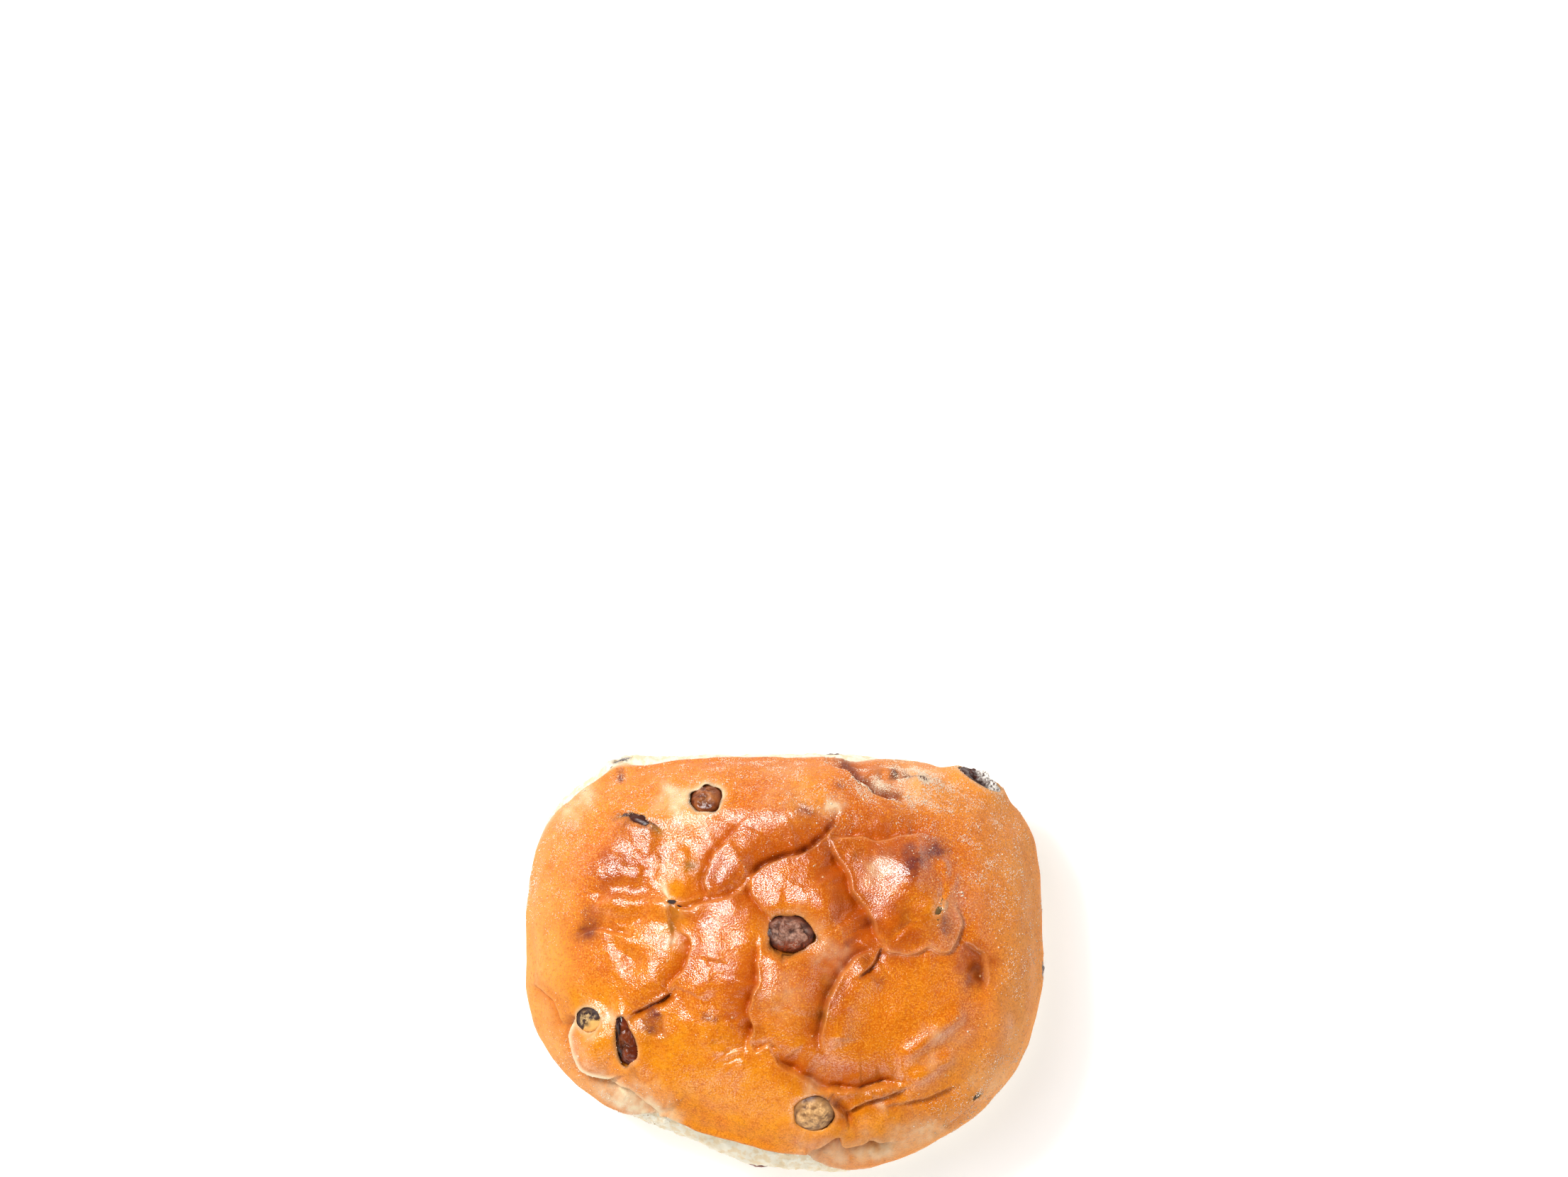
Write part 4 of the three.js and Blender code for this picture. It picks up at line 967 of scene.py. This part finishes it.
def makeFruitMaterial(finish):  # sun-dried grape: a dark wrinkled skin with sugar bloom, flour or egg wash
    look = fruitLook["usual"] | fruitFinish[finish]
    material, tree, shader = newMaterial("driedGrapeSkin" + finish.capitalize())
    place = addNode(tree, "ShaderNodeTexCoord").outputs["Object"]
    attribute = addNode(tree, "ShaderNodeAttribute", attribute_name="ridgeMap").outputs["Color"]
    ridge, crown, coated = addNode(tree, "ShaderNodeSeparateColor", {"Color": attribute}).outputs
    wrinkle, pore, speck = (
        addNode(tree, "ShaderNodeTexNoise", {
            "Vector": place, "Scale": 1 / (fruitLook[name] * mm), "Detail": detail}).outputs[0]
        for name, detail in (("wrinkle", 4.0), ("pore", 3.0), ("speck", 4.0)))
    patchLow, patchHigh = look["patchEdge"]
    holeLow, holeHigh = look["coatHoles"]
    patch = addNode(tree, "ShaderNodeMapRange", {0: wrinkle, 1: patchLow, 2: patchHigh}).outputs[0]
    grain = addNode(tree, "ShaderNodeMapRange", {0: pore, 1: 0.38, 2: 0.6, 3: 0.45, 4: 1}).outputs[0]
    holes = addNode(tree, "ShaderNodeMapRange", {0: speck, 1: holeLow, 2: holeHigh}).outputs[0]
    source = {"patch": patch, "grain": grain, "crown": crown, "holes": holes, "coated": coated}
    film = multiplied(tree, source, look["filmShare"], ["patch", "grain", "crown"])
    coat = multiplied(tree, source, 1, ["holes", "coated"])
    colour = linear(look["skin"])
    for share, over in ((ridge, "high"), (film, "film"), (coat, "coat")):
        colour = addNode(tree, "ShaderNodeMix", {0: share, 6: colour, 7: linear(look[over])},
                         data_type="RGBA").outputs[2]
    rough = addNode(tree, "ShaderNodeMapRange", {0: film, 3: look["rough"], 4: fruitLook["filmRoughness"]})
    bump = addNode(tree, "ShaderNodeBump", {
        "Strength": 0.8, "Distance": fruitLook["poreDepth"] * mm, "Height": pore})
    setInputs(shader, {"Base Color": colour, "Roughness": rough.outputs[0], "Specular IOR Level": 0.35,
                       "Normal": bump.outputs[0]})
    return material


wrinkles = {  # mm
    "bend": 1.6, "bendSize": 3, "furrowSize": 3.6, "smallSize": 1.7, "lumpSize": 1.1,
    "furrowDepth": 0.2, "smallDepth": 0.09,  # shares of the half size
}


def shapeFruit(name, fruit, seed):  # a ball drawn out to the fruit's size and furrowed all over
    bm = bmesh.new()
    bmesh.ops.create_icosphere(bm, subdivisions=6 if name.startswith("raisin") else 5, radius=1)
    mesh = meshFrom(bm, name + "_skin")
    ball = readPoints(mesh)
    at = ball * np.array(fruit["size"]) / 2
    bend = noisesAt(at, wrinkles["bendSize"], seed, seed + 5, seed + 9) * wrinkles["bend"]
    furrows, small = (np.clip(ridgesAt(at * [0.6, 1, 1] + bend, wrinkles[size], seed + more), 0, 1) ** 1.5
                      for size, more in (("furrowSize", 2), ("smallSize", 3)))
    lumps = noiseAt(at, wrinkles["lumpSize"], seed + 4)
    openShare = math.sqrt(1 - fruit["shows"] ** 2)  # of the ball's height, where the pocket's lip lies
    shown = ease(ball[:, 2], openShare - 0.12, openShare + 0.35)
    deep = fruit["furrow"] * (0.1 + 0.9 * shown)
    depth = deep * (wrinkles["furrowDepth"] * furrows + wrinkles["smallDepth"] * (small - lumps))
    shape = at * (1 - depth)[:, None]
    shape[:, 1] *= taperAt(fruit, shape[:, 0])
    writePoints(mesh, shape @ fruit["axes"] + fruit["middle"])
    mesh.shade_smooth()
    side = np.array(fruit["coated"], float)
    facing = ball @ fruit["axes"] @ side + 0.3 * noiseAt(at, 1.8, seed + 6)
    patchy = 1.1 + 0.9 * noiseAt(at, 1.6, seed + 8)
    coated = ease(facing, *fruit["coatEdge"]) * patchy * side.any()
    crown = ease(ball[:, 2], openShare + 0.05, openShare + 0.4)
    paint(mesh, "ridgeMap", 0.75 - furrows * 0.6 - small * 0.25 + lumps * 0.5, crown, coated)
    return mesh


materials = {finish: makeFruitMaterial(finish) for finish in fruitFinish}
for number, (name, fruit) in enumerate(fruits.items()):
    piece = makeObject(name + "_fruit", shapeFruit(name, fruit, 100 + 7 * number))
    piece.data.materials.append(materials[fruit["finish"]])
    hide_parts(name)
    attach(piece, "root")
print("fruits", len(fruits))

view = {"width": 288.2, "aim": (0, 68.9), "level": 17, "distance": 6000}  # mm; the picture's own framing
cameraData = bpy.data.cameras.new("camera")
camera = makeObject("camera", cameraData)
camera.location = (view["aim"][0] * mm, view["aim"][1] * mm, (view["level"] + view["distance"]) * mm)
cameraData.lens = cameraData.sensor_width * view["distance"] / view["width"]
cameraData.clip_end = 10
bpy.context.scene.camera = camera

studio = {
    "horizon": 0.4, "zenith": 0.04, "floor": "#F4F2EF", "floorGlow": 0.45, "floorHalf": 3,
    "skyLow": 0.38, "skyHigh": 0.56,  # heights on the sky between which it darkens
    "aim": (0, 0, 0.03),
    "lights": {  # place in metres, width in metres, watts
        "key": ((-0.5, 0.42, 1.04), 0.3, 11), "softbox": ((-0.38, 0.34, 1.2), 0.7, 7.5),
        "front": ((0.1, -1.1, 0.5), 0.6, 3), "right": ((0.9, -0.1, 0.6), 0.4, 1.4),
    },
}
for name, (place, size, power) in studio["lights"].items():  # soft round boxes that face the bun
    light = bpy.data.lights.new(name, "AREA")
    light.shape, light.size, light.energy = "DISK", size, power
    lamp = makeObject(name, light)
    lamp.location = place
    lamp.rotation_euler = (Vector(studio["aim"]) - Vector(place)).to_track_quat("-Z", "Y").to_euler()

world = bpy.data.worlds.new("studio")
world.use_nodes = True
direction = addNode(world.node_tree, "ShaderNodeTexCoord").outputs["Generated"]
rise = addNode(world.node_tree, "ShaderNodeSeparateXYZ", {0: direction}).outputs["Z"]
glow = addNode(world.node_tree, "ShaderNodeMapRange", {  # a white sweep all round, dark overhead
    0: rise, 1: studio["skyLow"], 2: studio["skyHigh"], 3: studio["horizon"], 4: studio["zenith"]},
    interpolation_type="SMOOTHSTEP").outputs[0]
setInputs(world.node_tree.nodes["Background"], {"Color": (1, 1, 1, 1), "Strength": glow})
bpy.context.scene.world = world
bpy.context.scene.view_settings.view_transform = "Standard"

bm = bmesh.new()
bmesh.ops.create_grid(bm, x_segments=1, y_segments=1, size=studio["floorHalf"])
floor = makeObject("floor", meshFrom(bm, "floor"))
paper, _, shader = newMaterial("mattPaper")
setInputs(shader, {"Base Color": linear(studio["floor"]), "Roughness": 0.9,
                   "Emission Color": (1, 1, 1, 1), "Emission Strength": studio["floorGlow"]})
floor.data.materials.append(paper)
